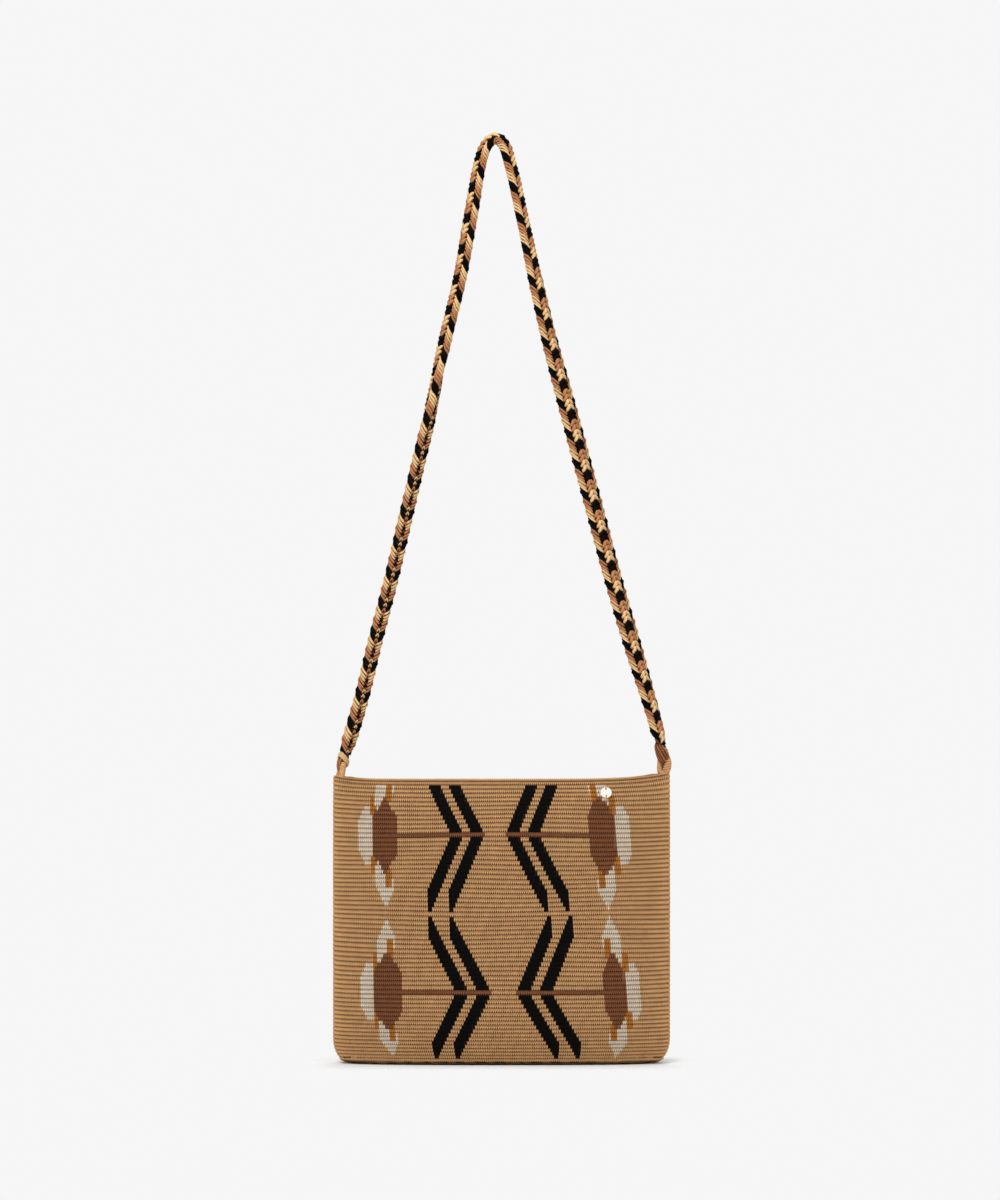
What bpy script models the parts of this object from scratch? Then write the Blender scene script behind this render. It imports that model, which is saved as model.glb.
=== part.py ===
"""A crocheted shoulder bag with a plaited strap, standing on its base.

The origin is the middle of the base, on the surface that the bag stands on. X runs along the bag, -Y is its front
and Z is up. Every size is in metres.
"""

import math

import bmesh
import bpy
from mathutils import Matrix, Vector

COLLECTION = "wayuu_mochila_bag"
LEFT = -1
RIGHT = 1

# Yarn and metal colours
CAMEL = (0.51, 0.30, 0.14)
BLACK = (0.010, 0.010, 0.012)
BROWN = (0.19, 0.075, 0.033)
CREAM = (0.62, 0.52, 0.40)
OCHRE = (0.40, 0.16, 0.03)
TERRACOTTA = (0.40, 0.18, 0.08)
SAND = (0.70, 0.45, 0.22)
PALE_GOLD = (0.93, 0.88, 0.74)

# Edges that turn by more than these angles are shaded sharp, in degrees
CROCHET_SHARP = 50.0
CORD_SHARP = 60.0
PLAIT_SHARP = 40.0
METAL_SHARP = 30.0

# The crocheted bag
BODY_HALF_LENGTH = 0.1352
RIM_DRAW_IN = 0.0002
BODY_HALF_DEPTH = 0.0250
RIM_HALF_DEPTH = 0.0105
RIM_HEIGHT = 0.2255
CORNER_RISE = {LEFT: 0.0036, RIGHT: 0.0058}
CORNER_SHARPNESS = {LEFT: 9.0, RIGHT: 5.0}
BODY_SQUARENESS = 2.5
RIM_SQUARENESS = 4.0
CLOSING_HEIGHT = 0.060
CLOSING_EASE = 3
TURN_HEIGHT = 0.0528
TURN_INSET = 0.010
TURN_ANGLE = math.radians(45.0)
LOW_CORNER_HEIGHT = 0.020
LOW_CORNER_INSET = 0.0135
WALL = 0.0030
SEWN_CORNER = 0.0120

# The rounds of crochet, each one a ridge
WALL_ROUNDS = 48
TURN_ROUNDS = 17
BASE_ROUNDS = 1
RIDGE_DEPTH = 0.0008
RISE_ROUNDS = 12
CLOSING_LOSS = 0.0036
COLUMNS_PER_FACE = 12
COLUMN_CROWDING = 1.25
INNER_RIM_ROUND = 0.25
BASE_EDGE_ROUND = 0.4
STITCHES_PER_FACE = 172

# The fields of coloured yarn, in stitches and rounds
BROWN_ROUNDS = (12.5, 46.5)
STRIPE_STITCHES = 6.0
STRIPE_GAP = 4.0
STRIPE_START = 4.5
STRIPE_ROUNDS = 16.5
LENS_CENTRE = 54.0
LENS_HALF = 5.5
LENS_ROUNDS = 9.0
CREAM_HALF = 7.0
CREAM_ROUNDS = 6.5
CREAM_POWER = 3.0
DIAMOND_CENTRE = 54.0
DIAMOND_HALF = 5.0
DIAMOND_FROM = 6.5
DIAMOND_SLOPE = 1.2
HOOK_STITCHES = 2.5
HOOK_FROM = 4.5
HOOK_ROUNDS = 4.0

# The strap, its plait and its ends
STRAP_HALF_WIDTH = 0.0072
STRAP_HALF_THICKNESS = 0.0038
PLAIT_BLOCK = 0.00833
PLAIT_SLANT = 0.0060
PLAIT_GROOVE = 0.84
EYE_HALF_WIDTH = 0.0050
EYE_HALF_THICKNESS = 0.0031
EYE_BELOW = 0.0048
EYE_ABOVE = 0.0034
NECK_HALF_WIDTH = 0.0042
NECK_HALF_THICKNESS = 0.0026
NECK_SHOULDER = 0.0015
TIP_HALF_WIDTH = 0.0035
TIP_HALF_THICKNESS = 0.0025
TIP_LENGTH = 0.0019
STRAP_FLARE = 0.0120

# The binding yarn wound round each neck
BINDING_LENGTH = 0.0062
BINDING_THICKNESS = 0.0012
BINDING_GROOVE = 0.00084
BINDING_CORNER = 1.25
BINDING_TURNS = 4

# The corded loops that join the strap to the rim
LOOP_HEIGHT = {LEFT: 0.0190, RIGHT: 0.0213}
LOOP_WIDTH = 0.0112
LOOP_CORD_RADIUS = 0.0021
LOOP_BELOW_RIM = 0.0062
LOOP_INSET = {LEFT: 0.0052, RIGHT: 0.0056}
LOOP_TILT = {LEFT: math.radians(8.5), RIGHT: math.radians(-3.0)}

# The small metal disc and its two stitches
DISC_X = 0.0831
DISC_ROUND = 2.9
DISC_RADIUS = 0.0046
DISC_THICKNESS = 0.0008
DISC_SIDES = 28
DISC_EDGE = 0.00024
HOLE_SIDES = 12
DISC_HOLE_OFFSET = 0.0029
THREAD_RADIUS = 0.00045

# The gap left between pieces that touch
CLEARANCE = 0.0003

# The strap's route between its eyes, from the left corner over the top to the right: x, and height over the rim
STRAP_ROUTE = (
    (-0.1124, 0.0645),
    (-0.1008, 0.1125),
    (-0.0884, 0.1605),
    (-0.0772, 0.2085),
    (-0.0660, 0.2565),
    (-0.0544, 0.3045),
    (-0.0448, 0.3525),
    (-0.0336, 0.4005),
    (-0.0252, 0.4485),
    (-0.0196, 0.4805),
    (-0.0160, 0.4965),
    (-0.0118, 0.5075),
    (-0.0048, 0.5131),
    (0.0018, 0.5075),
    (0.0054, 0.4965),
    (0.0096, 0.4805),
    (0.0164, 0.4485),
    (0.0272, 0.4005),
    (0.0384, 0.3525),
    (0.0512, 0.3045),
    (0.0640, 0.2565),
    (0.0768, 0.2085),
    (0.0896, 0.1605),
    (0.1036, 0.1125),
    (0.1180, 0.0645),
    (0.1241, 0.0425),
)

# How far the strap's ridged face has turned from the outside of its bend, at shares of its length
STRAP_TWIST = (
    (0.00, 52.0),
    (0.19, 52.0),
    (0.26, 20.0),
    (0.32, -15.0),
    (0.44, -28.0),
    (0.50, -12.0),
    (0.58, -14.0),
    (0.66, -42.0),
    (0.76, -80.0),
    (0.90, -86.0),
    (0.96, -48.0),
    (1.00, -35.0),
)


def clear_scene():
    """Removes every object that is in the scene."""
    for obj in list(bpy.data.objects):
        bpy.data.objects.remove(obj, do_unlink=True)


def new_collection(name):
    """A collection of this name in the scene."""
    collection = bpy.data.collections.new(name)
    bpy.context.scene.collection.children.link(collection)
    return collection


def smooth_object(name, mesh, collection, material, sharp_degrees):
    """An object from a mesh, shaded smooth up to an angle."""
    mesh.shade_smooth()
    mesh.set_sharp_from_angle(angle=math.radians(sharp_degrees))
    mesh.materials.append(material)
    obj = bpy.data.objects.new(name, mesh)
    collection.objects.link(obj)
    return obj


def loft(name, rings, closed):
    """A mesh through rings of as many points each: closed on itself, or with a flat cap at each end."""
    mesh = bpy.data.meshes.new(name)
    work = bmesh.new()
    count = len(rings[0])
    layers = [[work.verts.new(point) for point in ring] for ring in rings]
    pairs = list(zip(layers, layers[1:]))
    if closed:
        pairs.append((layers[-1], layers[0]))
    for lower, upper in pairs:
        for i in range(count):
            j = (i + 1) % count
            work.faces.new((lower[i], lower[j], upper[j], upper[i]))
    if not closed:
        work.faces.new(layers[0])
        work.faces.new(layers[-1])
    bmesh.ops.recalc_face_normals(work, faces=work.faces)
    work.to_mesh(mesh)
    work.free()
    return mesh


def plain_material(name, colour, roughness, metallic=0.0):
    """A material of one colour."""
    material = bpy.data.materials.new(name)
    material.use_nodes = True
    shader = material.node_tree.nodes["Principled BSDF"]
    shader.inputs["Base Color"].default_value = (*colour, 1.0)
    shader.inputs["Roughness"].default_value = roughness
    shader.inputs["Metallic"].default_value = metallic
    return material


# The bag's form: where a column and a round of crochet meet


def turn_at(number):
    """The angle that the wall has turned through towards the base at this round."""
    return TURN_ANGLE * max(0.0, min(1.0, (number - WALL_ROUNDS) / TURN_ROUNDS))


def round_height(number):
    """The height at mid front of the line that this many rounds lie above."""
    if number >= WALL_ROUNDS:
        return TURN_HEIGHT * (1.0 - math.sin(turn_at(number)) / math.sin(TURN_ANGLE))
    pitch = (RIM_HEIGHT - TURN_HEIGHT + CLOSING_LOSS) / WALL_ROUNDS
    left = max(0.0, 1.0 - number / RISE_ROUNDS)
    return RIM_HEIGHT - number * pitch + CLOSING_LOSS * (1.0 - left**2)


def base_inset(number):
    """How far the rounds of the base, which lie flat, have drawn the outline in at this round."""
    pitch = (RIM_HEIGHT - TURN_HEIGHT + CLOSING_LOSS) / WALL_ROUNDS
    return pitch * max(0.0, number - WALL_ROUNDS - TURN_ROUNDS)


def face_inset(number):
    """How far the front and the back have turned in towards the base at this round."""
    return TURN_INSET * (1.0 - math.cos(turn_at(number))) / (1.0 - math.cos(TURN_ANGLE)) + base_inset(number)


def end_inset(number):
    """How far the rounded lower corners have drawn the ends in at this round."""
    below = max(0.0, 1.0 - round_height(number) / LOW_CORNER_HEIGHT)
    return LOW_CORNER_INSET * (1.0 - math.sqrt(1.0 - below**2)) + base_inset(number)


def closing(number):
    """How closed the mouth is at this round: 1 at the rim and 0 below the closing height."""
    below = (RIM_HEIGHT - round_height(number)) / CLOSING_HEIGHT
    return max(0.0, 1.0 - below) ** CLOSING_EASE


def column_share(index):
    """The share of the half length at which a column stands, with the columns closer towards the ends."""
    half = COLUMNS_PER_FACE / 2
    side = (index - half) / half
    turn = 1.0 - (1.0 - abs(side)) ** COLUMN_CROWDING
    return math.copysign(math.sin(turn * math.pi / 2), side)


def wall_point(share, number, face, inward=0.0, sewn=0.0):
    """A point of the wall at a share of the half length, on the front (-1) or back (1) face."""
    closed = closing(number)
    half_length = BODY_HALF_LENGTH - RIM_DRAW_IN * closed - end_inset(number) - inward - sewn
    half_depth = BODY_HALF_DEPTH + (RIM_HALF_DEPTH - BODY_HALF_DEPTH) * closed - face_inset(number) - inward
    power = BODY_SQUARENESS + (RIM_SQUARENESS - BODY_SQUARENESS) * closed
    depth = half_depth * max(0.0, 1.0 - abs(share) ** power) ** (1.0 / power)
    side = RIGHT if share > 0 else LEFT
    rise = CORNER_RISE[side] * abs(share) ** CORNER_SHARPNESS[side]
    height = round_height(number) + rise * max(0.0, 1.0 - number / RISE_ROUNDS) ** 2
    return Vector((share * half_length, face * depth, height))


def wall_ring(number, inward=0.0, sewn=0.0, lift=0.0):
    """One closed ring of wall points: along the front from left to right, and back behind."""
    front = [wall_point(column_share(i), number, -1, inward, sewn) for i in range(COLUMNS_PER_FACE)]
    back = [wall_point(-column_share(i), number, 1, inward, sewn) for i in range(COLUMNS_PER_FACE)]
    return [point + Vector((0, 0, lift)) for point in front + back]


def bag_rings():
    """The rings of the bag from its inner floor, over the rim and down to the base, with each ring's round."""
    floor_round = WALL_ROUNDS + TURN_ROUNDS
    middle_round = floor_round + BASE_ROUNDS
    inner = [wall_ring(middle_round, WALL, 0.0, WALL)]
    for turned in (1.0, 0.8, 0.5, 0.0):
        inner.append(wall_ring(WALL_ROUNDS + turned * TURN_ROUNDS, WALL, 0.0, WALL * turned))
    inner.append(wall_ring(RISE_ROUNDS * 2, WALL))
    inner += [wall_ring(number, WALL, SEWN_CORNER) for number in (RISE_ROUNDS, RISE_ROUNDS / 2, INNER_RIM_ROUND)]
    rings = [(ring, -1.0) for ring in inner]
    rings.append((wall_ring(0.0, WALL / 2, SEWN_CORNER / 2, RIDGE_DEPTH / 2), -1.0))
    for number in range(floor_round):
        rings.append((wall_ring(number + 0.0, RIDGE_DEPTH), number))
        rings.append((wall_ring(number + 0.5), number))
    for number in range(floor_round, middle_round):
        rings.append((wall_ring(number + 0.0, 0.0, 0.0, RIDGE_DEPTH), number))
        rings.append((wall_ring(number + 0.5), number))
    rings.append((wall_ring(middle_round, 0.0, 0.0, RIDGE_DEPTH), middle_round))
    rings.append((wall_ring(middle_round + BASE_EDGE_ROUND), middle_round))
    return rings


def lay_out_stitches(mesh, rounds):
    """Gives the bag a map that counts stitches from mid face across, and rounds from the rim down."""
    count = 2 * COLUMNS_PER_FACE
    points = [vertex.co.copy() for vertex in mesh.vertices]
    stitches = []
    for start in range(0, len(points), count):
        ring = points[start : start + count] + [points[start]]
        for first in (0, COLUMNS_PER_FACE):
            lengths = [0.0]
            for i in range(first, first + COLUMNS_PER_FACE):
                lengths.append(lengths[-1] + (ring[i + 1] - ring[i]).length)
            stitches.append([(step / lengths[-1] - 0.5) * STITCHES_PER_FACE for step in lengths])
    layer = mesh.uv_layers.new(name="stitch_and_round")
    for face in mesh.polygons:
        columns = [mesh.loops[i].vertex_index % count for i in face.loop_indices]
        on_back = sum(columns) / len(columns) > COLUMNS_PER_FACE or set(columns) == {0, count - 1}
        for i in face.loop_indices:
            vertex = mesh.loops[i].vertex_index
            ring, column = divmod(vertex, count)
            if on_back and column == 0:
                column = count
            row = stitches[2 * ring + (1 if on_back else 0)]
            column -= COLUMNS_PER_FACE if on_back else 0
            layer.data[i].uv = (row[max(0, min(COLUMNS_PER_FACE, column))], rounds[ring])


class Fields:
    """Builds masks of coloured yarn out of math nodes, one value from another."""

    def __init__(self, tree):
        self.tree = tree

    def math(self, operation, first, second=0.0):
        """One math node: each side is a number or another node's output."""
        node = self.tree.nodes.new("ShaderNodeMath")
        node.operation = operation
        for socket, value in zip(node.inputs, (first, second)):
            if isinstance(value, float):
                socket.default_value = value
            else:
                self.tree.links.new(value, socket)
        return node.outputs[0]

    def between(self, value, low, high):
        """1 where the value lies from low up to high."""
        above = self.math("GREATER_THAN", value, low)
        return self.math("MULTIPLY", above, self.math("LESS_THAN", value, high))

    def both(self, first, second):
        """1 where both masks are."""
        return self.math("MULTIPLY", first, second)

    def either(self, first, second):
        """1 where one mask or the other is."""
        return self.math("MAXIMUM", first, second)

    def paint(self, under, mask, colour):
        """The colour under it, with this one where the mask is."""
        node = self.tree.nodes.new("ShaderNodeMix")
        node.data_type = "RGBA"
        self.tree.links.new(mask, node.inputs["Factor"])
        if isinstance(under, tuple):
            node.inputs["A"].default_value = (*under, 1.0)
        else:
            self.tree.links.new(under, node.inputs["A"])
        node.inputs["B"].default_value = (*colour, 1.0)
        return node.outputs["Result"]


def crochet_material():
    """Camel yarn with black chevrons, brown lines and lenses, cream lenses and diamonds, and ochre hooks."""
    material = plain_material("crochet_yarn", CAMEL, 0.9)
    fields = Fields(material.node_tree)
    place = material.node_tree.nodes.new("ShaderNodeUVMap")
    place.uv_map = "stitch_and_round"
    split = material.node_tree.nodes.new("ShaderNodeSeparateXYZ")
    material.node_tree.links.new(place.outputs["UV"], split.inputs[0])
    stitch = fields.math("ABSOLUTE", fields.math("ROUND", split.outputs["X"]))
    number = fields.math("ADD", fields.math("FLOOR", split.outputs["Y"]), 0.5)
    away = [fields.math("ABSOLUTE", fields.math("SUBTRACT", number, at)) for at in BROWN_ROUNDS]
    step = fields.math("MINIMUM", *away)
    on_wall = fields.between(number, 1.0, float(WALL_ROUNDS + TURN_ROUNDS - 1))

    outward = fields.math("SUBTRACT", stitch, step)
    inner = fields.between(outward, STRIPE_START, STRIPE_START + STRIPE_STITCHES)
    outer_start = STRIPE_START + STRIPE_STITCHES + STRIPE_GAP
    outer = fields.between(outward, outer_start, outer_start + STRIPE_STITCHES)
    black = fields.both(fields.either(inner, outer), fields.between(step, 0.5, STRIPE_ROUNDS))

    across = fields.math("ABSOLUTE", fields.math("SUBTRACT", stitch, LENS_CENTRE))
    lens_edge = fields.math("MINIMUM", LENS_HALF, fields.math("SUBTRACT", LENS_ROUNDS, step))
    lens = fields.math("LESS_THAN", across, lens_edge)
    line = fields.both(fields.math("LESS_THAN", step, 0.5), fields.between(stitch, STRIPE_START, LENS_CENTRE))
    brown = fields.either(lens, line)

    cream_start = LENS_CENTRE + LENS_HALF
    cream_share = fields.math("POWER", fields.math("DIVIDE", step, CREAM_ROUNDS), CREAM_POWER)
    cream_edge = fields.math("MULTIPLY", fields.math("SUBTRACT", 1.0, cream_share), CREAM_HALF)
    cream_edge = fields.math("ADD", cream_edge, cream_start)
    within = fields.math("LESS_THAN", stitch, cream_edge)
    cream_lens = fields.both(within, fields.math("GREATER_THAN", stitch, cream_start))
    from_gap = fields.math("SUBTRACT", STRIPE_ROUNDS, step)
    diamond_edge = fields.math("MINIMUM", DIAMOND_HALF, fields.math("MULTIPLY", from_gap, DIAMOND_SLOPE))
    sideways = fields.math("ABSOLUTE", fields.math("SUBTRACT", stitch, DIAMOND_CENTRE))
    within = fields.math("LESS_THAN", sideways, diamond_edge)
    diamond = fields.both(within, fields.math("GREATER_THAN", step, DIAMOND_FROM))
    cream = fields.either(cream_lens, diamond)

    outer_hook = fields.both(
        fields.between(stitch, cream_start - HOOK_STITCHES / 2, cream_start + HOOK_STITCHES / 2),
        fields.between(step, HOOK_FROM, HOOK_FROM + HOOK_ROUNDS),
    )
    inner_edge = LENS_CENTRE - HOOK_STITCHES
    inner_hook = fields.both(
        fields.between(stitch, inner_edge - HOOK_STITCHES / 2, inner_edge + HOOK_STITCHES / 2),
        fields.between(step, HOOK_FROM + HOOK_ROUNDS - 1.0, HOOK_FROM + 2 * HOOK_ROUNDS - 1.0),
    )
    ochre = fields.either(outer_hook, inner_hook)

    colour = CAMEL
    for mask, yarn in ((black, BLACK), (cream, CREAM), (brown, BROWN), (ochre, OCHRE)):
        colour = fields.paint(colour, fields.both(mask, on_wall), yarn)
    edge = fields.math("GREATER_THAN", number, float(WALL_ROUNDS + TURN_ROUNDS - 1))
    edge = fields.both(edge, fields.math("LESS_THAN", number, float(WALL_ROUNDS + TURN_ROUNDS + 1)))
    colour = fields.paint(colour, edge, BLACK)
    shader = material.node_tree.nodes["Principled BSDF"]
    material.node_tree.links.new(colour, shader.inputs["Base Color"])
    return material


def add_bag(collection, loops):
    """The bag: one crocheted fabric, hollow and open at the top, with the loops' seats in its sewn corners."""
    rings = bag_rings()
    mesh = loft("bag_body", [ring for ring, _ in rings], closed=False)
    lay_out_stitches(mesh, [number + 0.001 for _, number in rings])
    body = smooth_object("bag_body", mesh, collection, crochet_material(), CROCHET_SHARP)
    cut(body, loops)
    return body


def cut(obj, cutters):
    """Cuts the cutters out of an object."""
    for cutter in cutters:
        modifier = obj.modifiers.new("seat_" + cutter.name, "BOOLEAN")
        modifier.operation = "DIFFERENCE"
        modifier.solver = "EXACT"
        modifier.object = cutter


# The loops, which link the sewn corners to the strap's eyes


def loop_frame(side):
    """The middle, sideways and upward directions of a loop."""
    corner = wall_point(float(side), 0.0, -1)
    lean = LOOP_TILT[side]
    up = Vector((-side * math.sin(lean), 0.0, math.cos(lean)))
    bottom = Vector((corner.x - side * LOOP_INSET[side], 0.0, corner.z - LOOP_BELOW_RIM))
    turned = math.radians(STRAP_TWIST[0][1] if side == LEFT else STRAP_TWIST[-1][1])
    across = Vector((side * math.cos(turned), math.sin(turned), 0.0))
    across = (across - up * across.dot(up)).normalized()
    return bottom + up * LOOP_HEIGHT[side] / 2, across, up


def eye_centre(side):
    """Where the top of a loop's cord runs through the strap's eye."""
    middle, _, up = loop_frame(side)
    return middle + up * (LOOP_HEIGHT[side] / 2 - LOOP_CORD_RADIUS)


def loop_rings(side, cord_radius, sides=8, arc_steps=8):
    """Rings of points round the cord of a loop that is two half circles joined by straight limbs."""
    middle, across, up = loop_frame(side)
    through = across.cross(up)
    bend = LOOP_WIDTH / 2 - LOOP_CORD_RADIUS
    straight = LOOP_HEIGHT[side] / 2 - LOOP_CORD_RADIUS - bend
    rings = []
    for half in (1, -1):
        for step in range(arc_steps + 1):
            angle = math.pi * step / arc_steps + (0.0 if half == 1 else math.pi)
            outward = across * math.cos(angle) + up * math.sin(angle)
            centre = middle + up * half * straight + outward * bend
            turns = [2 * math.pi * i / sides for i in range(sides)]
            rings.append([centre + (outward * math.cos(t) + through * math.sin(t)) * cord_radius for t in turns])
    return rings


def add_loops(collection, cutters, material):
    """The two loops, and the cutters for the seats that they fill."""
    seats = []
    for side, name in ((LEFT, "strap_loop_left"), (RIGHT, "strap_loop_right")):
        smooth_object(name, loft(name, loop_rings(side, LOOP_CORD_RADIUS), True), collection, material, CORD_SHARP)
        seat = loft(name + "_seat", loop_rings(side, LOOP_CORD_RADIUS + CLEARANCE), True)
        cutter = smooth_object(name + "_seat", seat, cutters, material, CORD_SHARP)
        cutter.hide_render = True
        cutter.display_type = "WIRE"
        seats.append(cutter)
    return seats


# The strap


class StrapPath:
    """The strap's middle line with its frame, read at any distance along it."""

    def __init__(self, steps_per_span=24):
        left, right = eye_centre(LEFT), eye_centre(RIGHT)
        route = [left] + [Vector((x, 0.0, RIM_HEIGHT + rise)) for x, rise in STRAP_ROUTE] + [right]
        start = route[0] + (route[0] - route[1]).normalized() * EYE_BELOW
        end = route[-1] + (route[-1] - route[-2]).normalized() * EYE_BELOW
        route = [start] + route + [end]
        self.points = []
        for i in range(len(route) - 1):
            before = route[max(0, i - 1)]
            after = route[min(len(route) - 1, i + 2)]
            for step in range(steps_per_span):
                self.points.append(self.between(before, route[i], route[i + 1], after, step / steps_per_span))
        self.points.append(route[-1])
        self.lengths = [0.0]
        for first, second in zip(self.points, self.points[1:]):
            self.lengths.append(self.lengths[-1] + (second - first).length)
        self.length = self.lengths[-1]

    @staticmethod
    def between(before, start, end, after, share):
        """A point of the smooth curve that runs through start and end."""
        square, cube = share**2, share**3
        curve = start * 2 + (end - before) * share
        curve += (before * 2 - start * 5 + end * 4 - after) * square
        curve += (start * 3 - before - end * 3 + after) * cube
        return curve / 2

    def at(self, distance):
        """The point, the direction and the ridged face's outward direction at a distance."""
        distance = max(0.0, min(self.length, distance))
        index = 0
        while index < len(self.lengths) - 2 and self.lengths[index + 1] < distance:
            index += 1
        first, second = self.points[index], self.points[index + 1]
        share = (distance - self.lengths[index]) / (second - first).length
        reach = max(1, min(len(self.points) - 2, index))
        along = (self.points[reach + 1] - self.points[reach - 1]).normalized()
        outside = Vector((-along.z, 0.0, along.x))
        turned = math.radians(self.twist(distance / self.length))
        normal = outside * math.cos(turned) + Vector((0, 1, 0)) * math.sin(turned)
        return first.lerp(second, share), along, normal

    @staticmethod
    def twist(share):
        """The turn of the ridged face at a share of the length, in degrees."""
        for (start, low), (end, high) in zip(STRAP_TWIST, STRAP_TWIST[1:]):
            if share <= end:
                part = (share - start) / (end - start)
                part = part * part * (3 - 2 * part)
                return low + (high - low) * part
        return STRAP_TWIST[-1][1]


# Points of the strap's section: share of half width, share of half thickness and share of the slant
SECTION = (
    (0.0, 1.0, 1.0),
    (0.94, 0.62, 0.35),
    (0.94, -0.62, -0.35),
    (0.0, -0.88, -1.0),
    (-0.94, -0.62, -0.35),
    (-0.94, 0.62, 0.35),
)


def strap_ring(path, distance, half_width, half_thickness, slant):
    """One ring of the strap, drawn along the strap by the slant of the plait."""
    ring = []
    for width, thickness, shift in SECTION:
        point, along, normal = path.at(distance + shift * slant)
        ring.append(point + along.cross(normal) * width * half_width + normal * thickness * half_thickness)
    return ring


def strap_stations(length):
    """Distances along the strap with the half width, half thickness and slant of the section there."""
    neck_from = EYE_BELOW + EYE_ABOVE
    neck_to = neck_from + BINDING_LENGTH + 2 * CLEARANCE
    end = [
        (0.0, TIP_HALF_WIDTH, TIP_HALF_THICKNESS, 0.0),
        (TIP_LENGTH, EYE_HALF_WIDTH, EYE_HALF_THICKNESS, 0.0),
        (neck_from - NECK_SHOULDER, EYE_HALF_WIDTH, EYE_HALF_THICKNESS, 0.0),
        (neck_from, NECK_HALF_WIDTH, NECK_HALF_THICKNESS, 0.0),
        (neck_to, NECK_HALF_WIDTH, NECK_HALF_THICKNESS, 0.0),
    ]
    first = neck_to + NECK_SHOULDER
    blocks = round((length - 2 * first) / PLAIT_BLOCK)
    pitch = (length - 2 * first) / blocks
    plait = []
    for half_step in range(2 * blocks + 1):
        distance = first + half_step * pitch / 2
        flare = min(1.0, min(distance - first, length - first - distance) / STRAP_FLARE)
        groove = PLAIT_GROOVE if half_step % 2 == 0 else 1.0
        width = EYE_HALF_WIDTH + (STRAP_HALF_WIDTH - EYE_HALF_WIDTH) * flare
        thickness = EYE_HALF_THICKNESS + (STRAP_HALF_THICKNESS - EYE_HALF_THICKNESS) * flare
        plait.append((distance, width * groove, thickness * groove, PLAIT_SLANT * flare))
    far_end = [(length - distance, width, thickness, slant) for distance, width, thickness, slant in reversed(end)]
    return end + plait + far_end


def add_strap(collection, path, seats):
    """The plaited strap, with the eyes cut where the loops' cords run through its ends."""
    rings = [strap_ring(path, *station) for station in strap_stations(path.length)]
    material = plain_material("strap_yarn", TERRACOTTA, 0.85)
    strap = smooth_object("strap", loft("strap", rings, False), collection, material, PLAIT_SHARP)
    cut(strap, seats)
    return strap


def binding_mesh(name, path, from_end):
    """A sleeve of wound yarn round the neck of the strap, with one ridge for each turn."""
    start = EYE_BELOW + EYE_ABOVE + CLEARANCE
    profile = [(0.0, 0.0), (0.0, BINDING_GROOVE)]
    for turn in range(BINDING_TURNS):
        profile.append(((turn + 0.5) / BINDING_TURNS, BINDING_THICKNESS))
        profile.append(((turn + 1.0) / BINDING_TURNS, BINDING_GROOVE))
    profile.append((1.0, 0.0))
    rings = []
    for share, thickness in profile:
        distance = start + share * BINDING_LENGTH
        if from_end:
            distance = path.length - distance
        grow = CLEARANCE + thickness
        ring = []
        for width, depth, _ in SECTION:
            point, along, normal = path.at(distance)
            across = along.cross(normal)
            edge = across * width * NECK_HALF_WIDTH + normal * depth * NECK_HALF_THICKNESS
            ring.append(point + edge + edge.normalized() * grow * BINDING_CORNER)
        rings.append(ring)
    return loft(name, rings, True)


def add_bindings(collection, path):
    """The yarn bound round each end of the strap."""
    material = plain_material("binding_yarn", SAND, 0.85)
    for name, from_end in (("strap_binding_left", False), ("strap_binding_right", True)):
        smooth_object(name, binding_mesh(name, path, from_end), collection, material, PLAIT_SHARP)


# The metal disc


def add_disc_seat(collection):
    """An empty on the fabric under the disc: X runs along the rim, Y up the wall and Z outward."""
    share = DISC_X / (BODY_HALF_LENGTH - RIM_DRAW_IN)
    stitch = 2.0 / STITCHES_PER_FACE
    middle = wall_point(share, DISC_ROUND, -1)
    across = wall_point(share + stitch, DISC_ROUND, -1) - wall_point(share - stitch, DISC_ROUND, -1)
    up = wall_point(share, DISC_ROUND - 0.5, -1) - wall_point(share, DISC_ROUND + 0.5, -1)
    outward = across.cross(up).normalized()
    up = outward.cross(across).normalized()
    turned = Matrix((up.cross(outward), up, outward)).transposed().to_4x4()
    seat = bpy.data.objects.new("disc_seat", None)
    seat.matrix_world = Matrix.Translation(middle + outward * CLEARANCE) @ turned
    collection.objects.link(seat)
    return seat


def round_bar(name, radius, low, high, sides):
    """A short round bar along Z, from a low end to a high one."""
    mesh = bpy.data.meshes.new(name)
    work = bmesh.new()
    middle = Matrix.Translation((0.0, 0.0, (low + high) / 2))
    size = {"radius1": radius, "radius2": radius, "depth": high - low}
    bmesh.ops.create_cone(work, cap_ends=True, segments=sides, matrix=middle, **size)
    work.to_mesh(mesh)
    work.free()
    return mesh


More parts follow.
